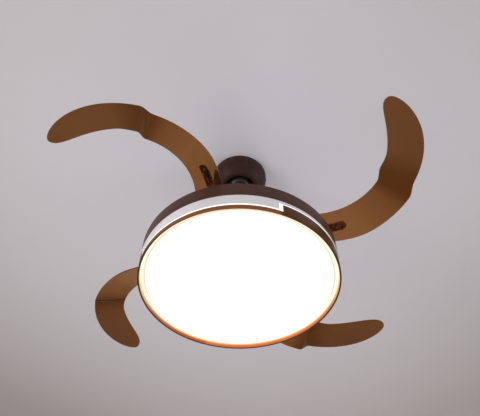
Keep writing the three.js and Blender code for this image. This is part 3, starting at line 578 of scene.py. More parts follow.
def drawn_out(mesh, vec):
    """Gives a surface a thickness, by a move of its copied faces."""
    raised = bmesh.ops.extrude_face_region(mesh, geom=mesh.faces[:])
    copied = [v for v in raised["geom"] if isinstance(v, bmesh.types.BMVert)]
    bmesh.ops.translate(mesh, vec=vec, verts=copied)
    return tidied(mesh)


def plate_of(outlines, bottom, thickness):
    """A flat plate with holes: its outlines are filled and drawn up to a thickness."""
    mesh = bmesh.new()
    for outline in outlines:
        knots = [mesh.verts.new((x, y, bottom)) for x, y in outline]
        for a, b in zip(knots, knots[1:] + knots[:1]):
            mesh.edges.new((a, b))
    bmesh.ops.triangle_fill(mesh, use_beauty=True, use_dissolve=False, edges=mesh.edges[:])
    return drawn_out(mesh, (0, 0, thickness))


def gathered(parts):
    """Puts working meshes together in one, uncut."""
    whole = bmesh.new()
    for part in parts:
        data = bpy.data.meshes.new("part")
        part.to_mesh(data)
        part.free()
        whole.from_mesh(data)
        bpy.data.meshes.remove(data)
    return whole


def polar(radius, degrees):
    angle = math.radians(degrees)
    return radius * math.cos(angle), radius * math.sin(angle)


def circle(radius, sides, x=0, y=0):
    points = (polar(radius, 360 * i / sides) for i in range(sides))
    return [(x + px, y + py) for px, py in points]


def even(start, end, count):
    """Evenly spaced values from one end to the other."""
    return [start + (end - start) * i / count for i in range(count + 1)]


def banded(name, colour, rough, bands, relief, rings):
    """A metal with close lines in it: layers up its height, or turns of wire in rings."""
    material, tree = new_material(name)
    place = wired(tree, "TexCoord").outputs["Object"]
    if rings:
        place = times(tree, place, (1, 1, 0))
        lines = {"wave_type": "RINGS", "rings_direction": "SPHERICAL"}
    else:
        lines = {"wave_type": "BANDS", "bands_direction": "Z"}
    wave = wired(tree, "TexWave", {"Scale": bands, "Distortion": 0.4, "Vector": place}, **lines)
    line = wave.outputs["Fac"]
    darker = tuple(c * 0.55 for c in colour)
    shaded(tree, {"Base Color": colour_mix(tree, line, darker, colour), "Metallic": 0.9,
                  "Roughness": rough, "Normal": bumped(tree, line, relief, 0.6)})
    return material


laminations = banded("laminations", (0.30, 0.30, 0.31), 0.45, 600, 0.1, False)
copper_winding = banded("copper_winding", (0.62, 0.25, 0.12), 0.32, 330, 0.3, True)

low, high = span("stator")
stator_radius = high.x / math.cos(math.radians(0.6))
poles = 12
pitch = 360 / poles
core_radius = stator_radius * 0.52
shoe_root = stator_radius - 4
shoe_half = 12.6  # degrees
neck_half = 6.5  # millimetres
neck_in, neck_out = (math.degrees(math.asin(neck_half / radius)) for radius in (core_radius, shoe_root))
outline = []
for middle in (pole * pitch for pole in range(poles)):
    outline += [polar(core_radius, middle - neck_in), polar(shoe_root, middle - neck_out),
                polar(shoe_root + 1, middle - shoe_half)]
    outline += [polar(stator_radius, middle + turn) for turn in even(-shoe_half, shoe_half, 6)]
    outline += [polar(shoe_root + 1, middle + shoe_half), polar(shoe_root, middle + neck_out),
                polar(core_radius, middle + neck_in)]
core = plate_of([outline, circle(shaft_hole, 48)], low.z, high.z - low.z)
finished(core, "stator_core", laminations, "wound_core", "stator")

coil_inner = core_radius + 1.5
coil_outer = shoe_root - 0.8
coils = []
for pole in range(poles):
    coil = moved(block(coil_outer - coil_inner, 1, high.z - low.z + 3), x=(coil_inner + coil_outer) / 2)
    for vert in coil.verts:
        vert.co.y *= 2 * vert.co.x * math.tan(math.radians(pitch / 2 - 3.2))
    eased_edges(coil, 3, 25, 4)
    coils.append(moved(rotated(coil, pole * pitch), z=(low.z + high.z) / 2))
finished(gathered(coils), "stator_coils", copper_winding, "wound_core", "stator")

# ---- Turning motor housing ----------------------------------------------------------------
# Two die-cast shells that meet at a seam, with a hub for a bearing in each. A ring of ferrite
# magnets is glued inside the lower one.

ferrite = coating("ferrite", (0.030, 0.030, 0.033), 0.6, mottle=0.15, grain=1500, relief=0.02)

low, high = span("magnet_ring")
magnet_inner = high.x - 5.5
magnet_count = 16
magnet_turn = 360 / magnet_count
magnets = bmesh.new()
for k in range(magnet_count):
    knots = [magnets.verts.new((radius, 0, height)) for radius, height in (
        (magnet_inner, low.z), (high.x, low.z), (high.x, high.z), (magnet_inner, high.z))]
    face = magnets.faces.new(knots)
    bmesh.ops.rotate(magnets, cent=(0, 0, 0), verts=knots,
                     matrix=Matrix.Rotation(math.radians(k * magnet_turn), 3, "Z"))
    bmesh.ops.spin(magnets, geom=[face, *face.edges, *face.verts], axis=(0, 0, 1), cent=(0, 0, 0),
                   angle=math.radians(magnet_turn - 0.8), steps=8)
eased_edges(magnets, 0.5, 40)
finished(magnets, "ferrite_magnets", ferrite, "magnet", "magnet_ring", body="rotor")

low, high = span("rotor_lower_housing")
housing_radius = high.x
wall = 3
inside = housing_radius - wall
hub_seat = shaft_radius + 7.5 + gap
hub = hub_seat + 4
floor = low.z + 9
foot_shell = turned([
    (hub_seat, low.z), (hub, low.z, 1), (hub, floor, 3), (housing_radius, floor, 5),
    (housing_radius, high.z, 0.6), (inside, high.z), (inside, floor + wall, 3), (hub_seat, floor + wall),
], sides=120, steps=5)
finished(foot_shell, "motor_lower_casting", cast_alloy, "cast_alloy", "rotor_lower_housing", body="rotor")

low, high = span("rotor_upper_housing")
crown = high.z - 11
head_shell = turned([
    (housing_radius, low.z, 0.6), (housing_radius, low.z + 15.7, 8), (housing_radius - 12, crown - 8, 8),
    (housing_radius - 34, crown, 10), (hub, crown, 3), (hub, high.z, 1), (hub_seat, high.z),
    (hub_seat, crown - wall), (housing_radius - 35, crown - wall, 10), (housing_radius - 14, crown - 10, 8),
    (inside, low.z + 14.7, 6), (inside, low.z),
], sides=120, steps=5)
finished(head_shell, "motor_upper_casting", cast_alloy, "cast_alloy", "rotor_upper_housing", body="rotor")

# ---- Motor cover --------------------------------------------------------------------------
# Fixed bell of pressed steel over the motor, painted dark bronze. Eight slots in its shoulder
# let the warm air out.

low, high = span("motor_cover")
outer = high.x
sheet = 2
shoulder = low.z + 46
neck = 30
cover = turned([
    (outer, low.z, 0.8), (outer, shoulder - 14, 16), (outer - 7, shoulder, 12),
    (outer - 28, shoulder + 12, 24), (neck + 22, high.z - 12, 16), (neck + 6, high.z, 9),
    (shaft_hole, high.z), (shaft_hole, high.z - sheet), (neck + 5, high.z - sheet, 8),
    (neck + 20, high.z - 13, 14), (outer - 30, shoulder + 10, 22), (outer - 9, shoulder - 1, 10),
    (outer - sheet, shoulder - 15, 14), (outer - sheet, low.z, 0.8),
], sides=144, steps=7)
vent_count = 8
vent_length = 30
vent_width = 5
for k in range(vent_count):
    vent = block(vent_length, vent_width, 30)
    uprights = [e for e in vent.edges if abs(e.verts[0].co.z - e.verts[1].co.z) > 1]
    bevelled(vent, uprights, vent_width * 0.49, 6)
    moved(vent, x=outer - 44, z=shoulder + 22)
    cover = carved(cover, rotated(vent, (k + 0.5) * 360 / vent_count))
eased_edges(cover, 0.4, 50, shortest=0.2)
finished(cover, "motor_bell", shaded_bronze_paint, "bronze", "motor_cover", sharp=40)

# ---- Blade carrier ------------------------------------------------------------------------
# Two aluminium plates on four steel posts, fixed under the motor's turning housing. The lower
# one has a raised land that the toothed ring turns on, the upper one windows that save weight.

carrier_low, carrier_high = span("blade_carrier")
cap_low, cap_high = span("carrier_cover")
gear_low, gear_high = span("sync_ring")
gear_thickness = gear_high.z - gear_low.z
carrier_radius = carrier_high.x
carrier_sheet = 2.5
pivot_radius = carrier_radius - 7
pivot_azimuth = -19.3
blade_count = 4
quarters = [pivot_azimuth - 360 / blade_count * k for k in range(blade_count)]
arm_teeth = 20
ring_teeth = 112
gear_module = 2 * pivot_radius / (arm_teeth + ring_teeth)
ring_root = gear_module * (ring_teeth / 2 - 1.2)
ring_bore = ring_root - 19.2
pin_radius = 5
hub_radius = 12.5
plate_edges = [circle(carrier_radius, 240), circle(30, 96)]

rolled_aluminium = coating("rolled_aluminium", (0.56, 0.56, 0.57), 0.34, metallic=1, mottle=0.08,
                           mottle_scale=18, grain=420, relief=0.006, dust=0.5)


def upright_pin(radius, length, x, y, z, ease=0.0, sides=48):
    return moved(rod(radius, length, ease, sides), x, y, z)


holes = [circle(pin_radius + 0.7, 32, *polar(pivot_radius, turn)) for turn in quarters]
lower_plate = eased_edges(plate_of([*plate_edges, *holes], carrier_low.z, carrier_sheet), 0.4, 50)
land = ring_bore - gap
land_top = gear_low.z - gap
land_foot = ring_bore + 6
land_low = carrier_low.z + carrier_sheet - 0.8  # sunk into the plate
land_ring = turned([
    (land - 4, land_low), (land_foot, land_low), (land_foot, land_top, 0.5), (land, land_top, 0.3),
    (land, carrier_high.z, 0.5), (land - 4, carrier_high.z, 0.5),
], sides=240)
finished(carved(lower_plate, land_ring, "UNION"), "carrier_lower_plate", rolled_aluminium, "alloy_plate",
         "blade_carrier", body="rotor", sharp=30)

window_length = 44
window_width = 26
window_corner = 5
window_middle = (housing_radius + ring_bore) / 2
windows = []
for k in range(8):
    outline = []
    for quarter, (sx, sy) in enumerate(((1, 1), (-1, 1), (-1, -1), (1, -1))):
        corner_x = window_middle + sx * (window_length / 2 - window_corner)
        corner_y = sy * (window_width / 2 - window_corner)
        for px, py in (polar(window_corner, turn) for turn in even(90 * quarter, 90 * quarter + 90, 5)):
            outline.append((corner_x + px, corner_y + py))
    windows.append(rotated(plate_of([outline], cap_low.z - 5, 12), 45 * k + pivot_azimuth))
upper_plate = carved(plate_of(plate_edges, cap_low.z, cap_high.z - cap_low.z), gathered(windows))
for turn in quarters:
    upper_plate = carved(upper_plate, upright_pin(hub_radius + 1, 12, *polar(pivot_radius, turn), cap_low.z))
finished(eased_edges(upper_plate, 0.4, 50, shortest=0.3), "carrier_upper_plate", rolled_aluminium,
         "alloy_plate", "carrier_cover", body="rotor", sharp=30)

for k in range(blade_count):
    name = f"spacer_post_{k + 1}"
    low, high = span(name)
    post = upright_pin((high.y - low.y) / 2, high.z - low.z, *(low + high) / 2, 0.6, 36)
    finished(post, f"carrier_post_{k + 1}", bright_steel, "steel", name, body="rotor")

# ---- Toothed ring -------------------------------------------------------------------------
# Moulded nylon ring between the plates. It meshes with a toothed sector on every blade's arm, so
# that the four blades swing together, and has teeth only where an arm runs on it.

natural_nylon = coating("natural_nylon", (0.70, 0.67, 0.58), 0.48, mottle=0.05, grain=600, relief=0.01)
pressure_angle = math.radians(20)
backlash = 0.35


def tooth(teeth, centre):
    """One involute tooth about an angle in degrees, as points on its outline."""
    pitch_radius = gear_module * teeth / 2
    base = pitch_radius * math.cos(pressure_angle)
    root = pitch_radius - 1.2 * gear_module
    tip = pitch_radius + 0.9 * gear_module

    def unrolled(radius):
        ratio = math.sqrt(max((radius / base) ** 2 - 1, 0))
        return ratio - math.atan(ratio)

    half_pitch = math.pi / (2 * teeth) - backlash / 2 / pitch_radius
    flank = [(radius, math.degrees(half_pitch + unrolled(pitch_radius) - unrolled(radius)))
             for radius in even(max(base, root), tip, 4)]
    if root < base:
        flank.insert(0, (root, flank[0][1]))
    return ([polar(radius, centre - half) for radius, half in flank]
            + [polar(radius, centre + half) for radius, half in reversed(flank)])


def gear_outline(teeth, phase, has_tooth, plain_radius, plain_half):
    """Teeth over a part of a wheel, and a plain rim over the rest."""
    outline = []
    for k in range(teeth):
        azimuth = math.remainder((k + phase) * 360 / teeth, 360)
        if has_tooth(azimuth):
            outline += tooth(teeth, azimuth)
        else:
            outline += [polar(plain_radius, azimuth + side * plain_half) for side in (-1, 1)]
    return outline


reach_before = -25.5
reach_after = 7
ring = gear_outline(ring_teeth, 0, lambda azimuth: reach_before <= math.remainder(azimuth, 90) <= reach_after,
                    ring_root, 0.8)
toothed_ring = plate_of([ring, circle(ring_bore + 0.2, 240)], gear_low.z, gear_thickness)
eased_edges(toothed_ring, 0.25, 50)
finished(rotated(toothed_ring, pivot_azimuth), "toothed_ring", natural_nylon, "nylon", "sync_ring",
         body="sync_gear", sharp=30)

# ---- Blades -------------------------------------------------------------------------------
# Four moulded blades of clear smoky brown plastic. Each is drawn folded, as an arc that runs
# clockwise round the drum from its pivot on +X, and is then swung out about that pivot.

light_foot = span("lower_trim")[0].z
leading_height = light_foot + 139.5
half_width = 39.4
inner_edge = pivot_radius - half_width
outer_edge = pivot_radius + half_width
blade_thickness = 3
open_angle = 104.4
root_slope = 0.4
tip_slope = 0.33
root_round = 7
root_narrowing = 13
joggle_rise = 20
tip_power = 2.25
tip_flare = 4
tip_centre = pivot_radius + 8
# Places along the blade, in degrees from its pivot.
root_end, root_narrow_end, joggle_start, joggle_end, tip_start, tip_end = -5, 36, 64, 72, 88, 133.5


def ease_in_out(t):
    t = min(max(t, 0), 1)
    return t * t * (3 - 2 * t)


def quarter_round(radius, t):
    """How far a round corner draws an edge in, with t from 0 at the edge to 1 at the corner's end."""
    return radius * (1 - math.sqrt(1 - t * t))


def blade_height(along, radius):
    """Height of the blade's middle surface, at degrees along it and at a radius."""
    rise = joggle_rise * ease_in_out((along - joggle_start) / (joggle_end - joggle_start))
    slope = root_slope + (tip_slope - root_slope) * ease_in_out(along / joggle_start)
    return leading_height + rise - slope * (radius - inner_edge)


def blade_edges(along):
    """Radii of the leading and trailing edge, with a rounded root and tip."""
    flare = tip_flare * ease_in_out((along - joggle_end) / (tip_start - joggle_end))
    t = min(max((along - tip_start) / (tip_end - tip_start), 0), 1)
    shrink = max((1 - t ** tip_power) ** (1 / tip_power), 0.05)
    inner = tip_centre - (tip_centre - inner_edge - flare) * shrink
    narrowing = root_narrowing * (1 - ease_in_out((along - root_end) / (root_narrow_end - root_end)))
    outer = tip_centre + (outer_edge - tip_centre) * shrink - narrowing
    u = min((along - root_end) / math.degrees(root_round / pivot_radius), 1)
    corner = quarter_round(root_round, 1 - u)
    return inner + corner, outer - corner


def along_blade(stations, edges, across, offset, thickness):
    """A plate that follows the blade: a flat grid laid on the blade's surface and thickened."""
    mesh = bmesh.new()
    lengths = len(stations) - 1
    bmesh.ops.create_grid(mesh, x_segments=lengths, y_segments=across, size=0.5)
    for vert in mesh.verts:
        along = stations[round((vert.co.x + 0.5) * lengths)]
        inner, outer = edges(along)
        radius = inner + (outer - inner) * (vert.co.y + 0.5)
        vert.co = (*polar(radius, -along), blade_height(along, radius) + offset)
    return drawn_out(mesh, (0, 0, thickness))


def swung_out(mesh):
    return rotated(mesh, open_angle, centre=(pivot_radius, 0, 0))


def smoky_plastic():
    """Clear brown plastic, paler towards the root, with painted shade darkest over the joggle, and flow
    marks.
    """
    material, tree = new_material("smoky_plastic")
    skin = film_on(tree, 9, 260, 1, 0.06)
    along = wired(tree, "Attribute", attribute_name="along_blade").outputs["Fac"]
    clear = ramped(tree, mask_range(tree, along, 0, 1, root_end, tip_end),
                   [((place - root_end) / (tip_end - root_end), colour) for place, colour in smoke_and_joggle_shade])
    deeper = times(tree, clear, (0.9, 0.86, 0.84))
    tone = colour_mix(tree, mask_range(tree, skin["Mottle"], 0, 1), deeper, clear)
    shaded(tree, {
        "Base Color": colour_mix(tree, skin["Dust Mask"], tone, dust_grey),
        "Roughness": mask_range(tree, skin["Mottle"], 0.03, 0.06), "Transmission Weight": 0.95,
        "IOR": 1.1,  # a thin plate hardly bends or mirrors what lies behind it
        "Coat Weight": 0.08, "Coat Roughness": 0.04, "Normal": bumped(tree, skin["Grain"], 0.01, 0.3)})
    return material


# painted shade: the colour darkens from 55 degrees to a dark band over the joggle, and lightens again by 88
smoke_and_joggle_shade = ((root_end, (0.47, 0.210, 0.070)), (25, (0.44, 0.197, 0.062)), (55, (0.32, 0.133, 0.036)),
         (64, (0.185, 0.061, 0.011)), (72, (0.175, 0.058, 0.011)), (88, (0.26, 0.107, 0.034)),
         (tip_end, (0.265, 0.114, 0.037)))
smoky = smoky_plastic()

stud_radius = 2.3
stud_places = ((10.5, 1), (14.5, -4), (18.5, 4))  # degrees along the blade, mm off its middle


def drilled_for_studs(mesh):
    return carved(mesh, gathered(
        upright_pin(stud_radius + gap, 80, *polar(pivot_radius + off, -along), leading_height, sides=24)
        for along, off in stud_places))


stations = [root_end + t for t in (0, 0.1, 0.3, 0.6, 1, 1.5, 2.1)]
stations += even(-2, joggle_start, 44) + even(joggle_start, joggle_end, 12)[1:]
stations += even(joggle_end, tip_start, 12)[1:]
stations += [tip_start + (tip_end - tip_start) * math.sin(math.radians(turn)) for turn in even(0, 90, 26)[1:]]
blade = along_blade(stations, blade_edges, 16, -blade_thickness / 2, blade_thickness)
eased_edges(blade, 0.6, 40, 3)
blade = carved(blade, upright_pin(hub_radius + 1, 60, pivot_radius, 0, leading_height, sides=64))
blade = swung_out(drilled_for_studs(blade))
for k, turn in enumerate(quarters):
    piece = finished(rotated(blade.copy(), turn), f"blade_moulding_{k + 1}", smoky, "smoky_blade",
                     f"blade_{k + 1}", body=f"blade_set_{k + 1}", sharp=40)
    pivot = Vector((pivot_radius * mm, 0, 0))
    unturned = Matrix.Rotation(-math.radians(turn), 3, "Z")
    folded = Matrix.Rotation(-math.radians(open_angle), 3, "Z")
    degrees_along = piece.data.attributes.new("along_blade", "FLOAT", "POINT")
    for vert in piece.data.vertices:
        place = folded @ (unturned @ vert.co - pivot) + pivot
        degrees_along.data[vert.index].value = -math.degrees(math.atan2(place.y, place.x))
blade.free()

# ---- Blade arms, clamps and pins ----------------------------------------------------------
# A steel arm carries each blade: a hub on the pivot pin, a toothed sector under it and a tab on
# the blade's top, with a doubling plate whose three studs go down through tab and blade.

tab_sheet = 2.5
tab_half = 10
tab_end = 21.5
tab_floor = blade_thickness / 2 + gap
arm_high = span("blade_arm_1")[1].z
sector_margin = 26


def tab_edges(along):
    """The tab narrows to a round end."""
    t = min(max((along - tab_end + 4) / 4, 0), 1)
    drawn_in = quarter_round(7, t * math.sqrt(0.98))
    return pivot_radius - tab_half + drawn_in, pivot_radius + tab_half - drawn_in


stations = [-3, *even(-1, tab_end - 4, 12), *even(tab_end - 3.6, tab_end, 9)]
tab = eased_edges(along_blade(stations, tab_edges, 4, tab_floor, tab_sheet), 0.35, 45)
hub_foot = gear_low.z + 0.4  # stands inside the sector
hub = upright_pin(hub_radius, arm_high - hub_foot, pivot_radius, 0, (arm_high + hub_foot) / 2, 0.8, 72)
arm = swung_out(drilled_for_studs(carved(tab, hub, "UNION")))
sector = gear_outline(arm_teeth, 0.5,
                      lambda azimuth: -sector_margin <= azimuth <= open_angle + sector_margin,
                      hub_radius + 0.6, 4.5)
sector = eased_edges(plate_of([sector], gear_low.z, gear_thickness), 0.25, 50)
arm = carved(arm, moved(rotated(sector, 180), x=pivot_radius), "UNION")
arm = carved(arm, upright_pin(pin_radius + gap, 120, pivot_radius, 0, leading_height))

clamp_floor = tab_floor + tab_sheet + gap
clamp_sheet = 2
clamp_half = 8.5
clamp_start = 8
clamp_end = 20.5
clamp_round = 1.2  # degrees of it that the round corners take up
stud_head = 3.6
stud_head_height = 1.8


def clamp_edges(along):
    """The doubling plate has round corners."""
    end = min(along - clamp_start, clamp_end - along)
    drawn_in = quarter_round(4, 1 - min(end / clamp_round, 1))
    return pivot_radius - clamp_half + drawn_in, pivot_radius + clamp_half - drawn_in


corner_steps = (0, 0.05, 0.2, 0.45, 0.8)
stations = [clamp_start + t for t in corner_steps]
stations += even(clamp_start + clamp_round, clamp_end - clamp_round, 6)
stations += [clamp_end - t for t in reversed(corner_steps)]
clamp = eased_edges(along_blade(stations, clamp_edges, 4, clamp_floor, clamp_sheet), 0.3, 45)
for along, off in stud_places:
    radius = pivot_radius + off
    top = blade_height(along, radius) + clamp_floor + clamp_sheet + 0.9
    under = blade_height(along, radius + stud_head) - blade_thickness / 2 - gap
    stud = turned([
        (0, under - stud_head_height), (stud_head - 0.9, under - stud_head_height, 0.8),
        (stud_head, under - 0.7, 0.4), (stud_head, under, 0.1), (stud_radius, under, 0),
        (stud_radius, top), (0, top),
    ], sides=36)
    clamp = carved(clamp, moved(stud, *polar(radius, -along)), "UNION")
swung_out(clamp)

low, high = span("pivot_pin_1")
head_under = carrier_low.z - gap
cap_under = arm_high + gap
pivot_pin = turned([
    (0, low.z), (8, low.z, 0.8), (8, head_under, 0.4), (pin_radius, head_under), (pin_radius, cap_under),
    (9, cap_under, 0.4), (9, cap_under + 1.2, 0.4), (8, high.z, 0.7), (0, high.z),
], sides=64)
pivot_pin = moved(carved(pivot_pin, plate_of([circle(2.9, 6)], high.z - 1.6, 4)), x=pivot_radius)

# Torsion spring of round wire, coiled round the hub, that draws the blade in when the fan stops.
low, high = span("return_spring_1")
wire = 0.85
spring_turns = 3
spring_steps = 36 * spring_turns
spring = bmesh.new()
bmesh.ops.create_circle(spring, segments=10, radius=wire)
moved(rotated(spring, 90, "X"), x=hub_radius + 0.95 + wire, z=low.z + wire)
bmesh.ops.spin(spring, geom=spring.verts[:] + spring.edges[:], axis=(0, 0, 1), cent=(0, 0, 0),
               dvec=(0, 0, (high.z - low.z - 2 * wire) / spring_steps),
               angle=spring_turns * math.tau, steps=spring_steps)
bmesh.ops.holes_fill(spring, edges=[e for e in spring.edges if e.is_boundary])
moved(spring, x=pivot_radius)

for k, turn in enumerate(quarters):
    for mesh, name, material, slot, node, body in (
            (arm, "arm", bright_steel, "steel", "blade_arm", f"blade_set_{k + 1}"),
            (clamp, "doubling_plate", black_steel, "black_steel", "blade_clamp", f"blade_set_{k + 1}"),
            (pivot_pin, "shouldered_pin", bright_steel, "steel", "pivot_pin", "rotor"),
            (spring, "torsion_spring", bright_steel, "steel", "return_spring", "rotor")):
        finished(rotated(mesh.copy(), turn), f"{name}_{k + 1}", material, slot, f"{node}_{k + 1}",
                 body=body, sharp=30)
for mesh in (arm, clamp, pivot_pin, spring):
    mesh.free()

# ---- Light housing ------------------------------------------------------------------------
# Shallow drum of pressed steel, open below, painted satin dark bronze. The hanging shaft comes
# down through the hole in its top.

bronze_paint = coating("bronze_paint", (0.072, 0.033, 0.023), 0.42, grain=700, relief=0.012, specular=0.15)

low, high = span("upper_shell")
drum_radius = high.x
sheet = 1.5
inside = drum_radius - sheet
roof = high.z - sheet
shell_hole = 44
upper_shell = turned([
    (drum_radius, low.z, 0.4), (drum_radius, high.z, 3), (shell_hole, high.z, 0.5), (shell_hole, roof, 0.5),
    (inside, roof, 1.6), (inside, low.z, 0.4),
], sides=288, steps=6)
finished(upper_shell, "drum_shell", bronze_paint, "bronze", "upper_shell", sharp=50)

# ---- Base pan, collar and nut -------------------------------------------------------------
# Dished steel pan, powder coated white, that carries everything in the light. It is clamped
# between a steel collar and a nut on the hollow shaft.

white_powder = coating("white_powder", (0.78, 0.78, 0.77), 0.46, mottle=0.03, grain=1000, relief=0.03)

low, high = span("base_pan")
outer = high.x
pan_hole = shaft_radius + 0.4
centre = light_foot + 75.5
pan = turned([
    (pan_hole, centre), (62, centre, 5), (96, low.z, 6), (outer, low.z, 2), (outer, low.z + 8),
    (outer - sheet, low.z + 8), (outer - sheet, low.z + sheet, 1), (97, low.z + sheet, 7),
    (63, centre + sheet, 6), (pan_hole, centre + sheet),
], sides=192, steps=5)
finished(pan, "light_pan", white_powder, "white_steel", "base_pan", sharp=50)

low, high = span("shaft_collar")
collar = turned([(shaft_hole, low.z), (high.x, low.z, 1), (high.x, high.z, 1), (shaft_hole, high.z)],
                sides=72)
for turn in (0, 120, 240):
    grub_hole = moved(rotated(rod(2.1, 12, 0, 24), 90, "Y"), x=high.x + 4.5, z=(low.z + high.z) / 2)
    collar = carved(collar, rotated(grub_hole, turn))
finished(collar, "clamping_collar", bright_steel, "steel", "shaft_collar")

low, high = span("shaft_nut")
corner = high.x
chamfer = turned([
    (0, low.z), (corner - 2, low.z, 0), (corner, low.z + 1.2, 0), (corner, high.z - 1.2, 0),
    (corner - 2, high.z, 0), (0, high.z),
], sides=96)
nut = carved(plate_of([circle(corner, 6)], low.z, high.z - low.z), chamfer, "INTERSECT")
nut = carved(nut, upright_pin(shaft_hole, 30, 0, 0, low.z, sides=72))
finished(eased_edges(nut, 0.25, 40, shortest=0.2), "pan_nut", bright_steel, "steel", "shaft_nut")

# ---- Light board --------------------------------------------------------------------------
# Aluminium board with a white solder mask and two circles of light-emitting chips, each with
# a clear dome over its yellow phosphor.

solder_mask = coating("solder_mask", (0.80, 0.80, 0.78), 0.34, mottle=0.02, grain=500, relief=0.006)
phosphor = coating("phosphor", (0.80, 0.60, 0.12), 0.2, mottle=0.04, grain=900, relief=0.004, dust=0)

high = span("led_board")[1]
board_sheet = 1.5
board_bottom = high.z - board_sheet
mounting_holes = [circle(2, 20, *polar(150, 22.5 + 90 * k)) for k in range(4)]
board = plate_of([circle(high.x, 192), circle(60, 96), *mounting_holes], board_bottom, board_sheet)
finished(eased_edges(board, 0.2, 50), "board_plate", solder_mask, "led_board", "led_board")

chip_count = 16
chip_circles = (86, 21)  # inside the board's edge
chips = []
for k in range(chip_count):
    dome = turned([(0, -2.4), (2.6, -1.9, 1), (2.9, -0.8, 0.2), (0, -0.8)], sides=24)
    chip = carved(moved(block(7, 7, 1.2, 0.3), z=-0.6), dome, "UNION")
    moved(chip, x=high.x - chip_circles[k % 2], z=board_bottom)
    chips.append(rotated(chip, 360 / chip_count * k))
finished(gathered(chips), "board_chips", phosphor, "led_board", "led_board")

# ---- Driver and receiver ------------------------------------------------------------------
# Two white plastic boxes screwed to the top of the pan: the light's driver and the receiver
# for the remote control. Each has a lid with a seam, cooling slits and feet with screw holes.

white_moulding = coating("white_moulding", (0.745, 0.735, 0.78), 0.2, mottle=0.02, grain=500, relief=0.004,
                         coat=0.3)
foot_reach = 10

for node, name, slits in (("led_driver", "driver_box", 9), ("remote_receiver", "receiver_box", 6)):
    low, high = span(node)
    length, width, height = high - low
    body_length = length - 2 * foot_reach
    case = moved(block(body_length, width, height, 2, 3), z=height / 2)
    case = carved(case, moved(block(length, width / 2, 2, 0.6), z=1), "UNION")
    seam_height = height * 0.72
    outside = moved(block(body_length + 4, width + 4, 0.7), z=seam_height)
    seam = carved(outside, moved(block(body_length - 1.2, width - 1.2, 4), z=seam_height))
    case = carved(case, seam)
    for k in range(slits):
        slit = block(1.8, width * 0.55, 3, 0.5)
        case = carved(case, moved(slit, x=(k - (slits - 1) / 2) * 6, z=height))
    for side in (-1, 1):
        case = carved(case, upright_pin(2, 8, side * (length - foot_reach) / 2, 0, 1, sides=24))
    finished(moved(case, *((low + high) / 2).xy, low.z), name, white_moulding, "white_plastic", node)

# ---- Diffuser catches ---------------------------------------------------------------------
# Three spring steel strips that hang from the pan and hold the diffuser's rim. It comes off
# them for a new light board.

for k in range(3):
    name = f"diffuser_catch_{k + 1}"
    finished(eased_node(name, 0.3), f"spring_catch_{k + 1}", bright_steel, "steel", name)

# ---- Side band ----------------------------------------------------------------------------
# The drum's side is three rings: a gloss white band, a lit slot, and the satin brown lower
# trim. They step up and down four times round the drum and fit into each other.

band_low, band_high = span("white_band")
trim_low, trim_high = span("lower_trim")
first_step = -68.1
trim_shallow = trim_low.z + 8.8
trim_deep = trim_high.z
lit_slot = 5  # over the shallow trim
deep_slot = 3.6  # over the deep trim
upright_slot = 9.6  # at a step
half_slot = math.degrees(upright_slot / 2 / drum_radius)
inset_slot = half_slot - math.degrees(gap / drum_radius)
step_ends = [first_step + 90 * k + offset for k in range(4)
             for offset in (-half_slot, -inset_slot, inset_slot, half_slot)]


def from_deep_quarter(azimuth):
    """Degrees from the middle of the nearest quarter where the brown trim is deep."""
    return abs(math.remainder(azimuth - first_step - 45, 180))


def stepped_ring(levels, kept, inner, outer, ease):
    """A ring whose edges step: a grid of the band, cut to shape, wrapped round and thickened."""
    azimuths = sorted({round(a % 360, 4) for a in even(0, 360, 240)[:-1] + step_ends})
    azimuths.append(azimuths[0] + 360)
    mesh = bmesh.new()
    columns, rows = len(azimuths) - 1, len(levels) - 1
    bmesh.ops.create_grid(mesh, x_segments=columns, y_segments=rows, size=0.5)
    for vert in mesh.verts:
        vert.co = (azimuths[round((vert.co.x + 0.5) * columns)], levels[round((vert.co.y + 0.5) * rows)], 0)
    unwanted = [face for face in mesh.faces if not kept(*face.calc_center_median().xy)]
    bmesh.ops.delete(mesh, geom=unwanted, context="FACES")
    for vert in mesh.verts:
        vert.co = (*polar(outer, vert.co.x), vert.co.y)
    bmesh.ops.remove_doubles(mesh, verts=mesh.verts, dist=0.001)
    drawn = bmesh.ops.extrude_face_region(mesh, geom=mesh.faces[:])
    copied = [v for v in drawn["geom"] if isinstance(v, bmesh.types.BMVert)]
    bmesh.ops.scale(mesh, vec=(inner / outer, inner / outer, 1), verts=copied)
    return eased_edges(tidied(mesh), ease, 40, 3)


def in_band(azimuth, height):
    return height > trim_deep + deep_slot or from_deep_quarter(azimuth) > 45 + half_slot


white_band = stepped_ring([band_low.z, trim_deep + deep_slot, band_high.z], in_band,
                          drum_radius - 4, drum_radius, 0.45)
finished(white_band, "white_side_band", white_moulding, "white_plastic", "white_band", sharp=50)


def lit_plastic(name, base, glow, rough):
    """Plastic that light shines out of, with the colour of the light given by a function."""
    material, tree = new_material(name)
    place = wired(tree, "TexCoord").outputs["Object"]
    grain = wired(tree, "TexNoise", {"Scale": 40, "Vector": place}).outputs["Fac"]
    darker = tuple(c * 0.97 for c in base)
    shaded(tree, {"Base Color": colour_mix(tree, grain, darker, base), "Roughness": rough,
                  "Emission Color": glow(tree, place, grain), "Emission Strength": 1})
    return material


def even_glow(tree, place, grain):
    return colour_mix(tree, grain, (0.95, 0.88, 0.78), (1.0, 0.94, 0.85))


lit_guide = lit_plastic("lit_guide", (0.5, 0.49, 0.46), even_glow, 0.3)
guide_levels = [trim_shallow + gap, trim_shallow + lit_slot - gap,
                trim_deep + gap, trim_deep + deep_slot - gap]


def in_guide(azimuth, height):
    off_step = from_deep_quarter(azimuth) - 45
    if abs(off_step) < inset_slot:
        return True
    return height > guide_levels[2] if off_step < 0 else height < guide_levels[1]


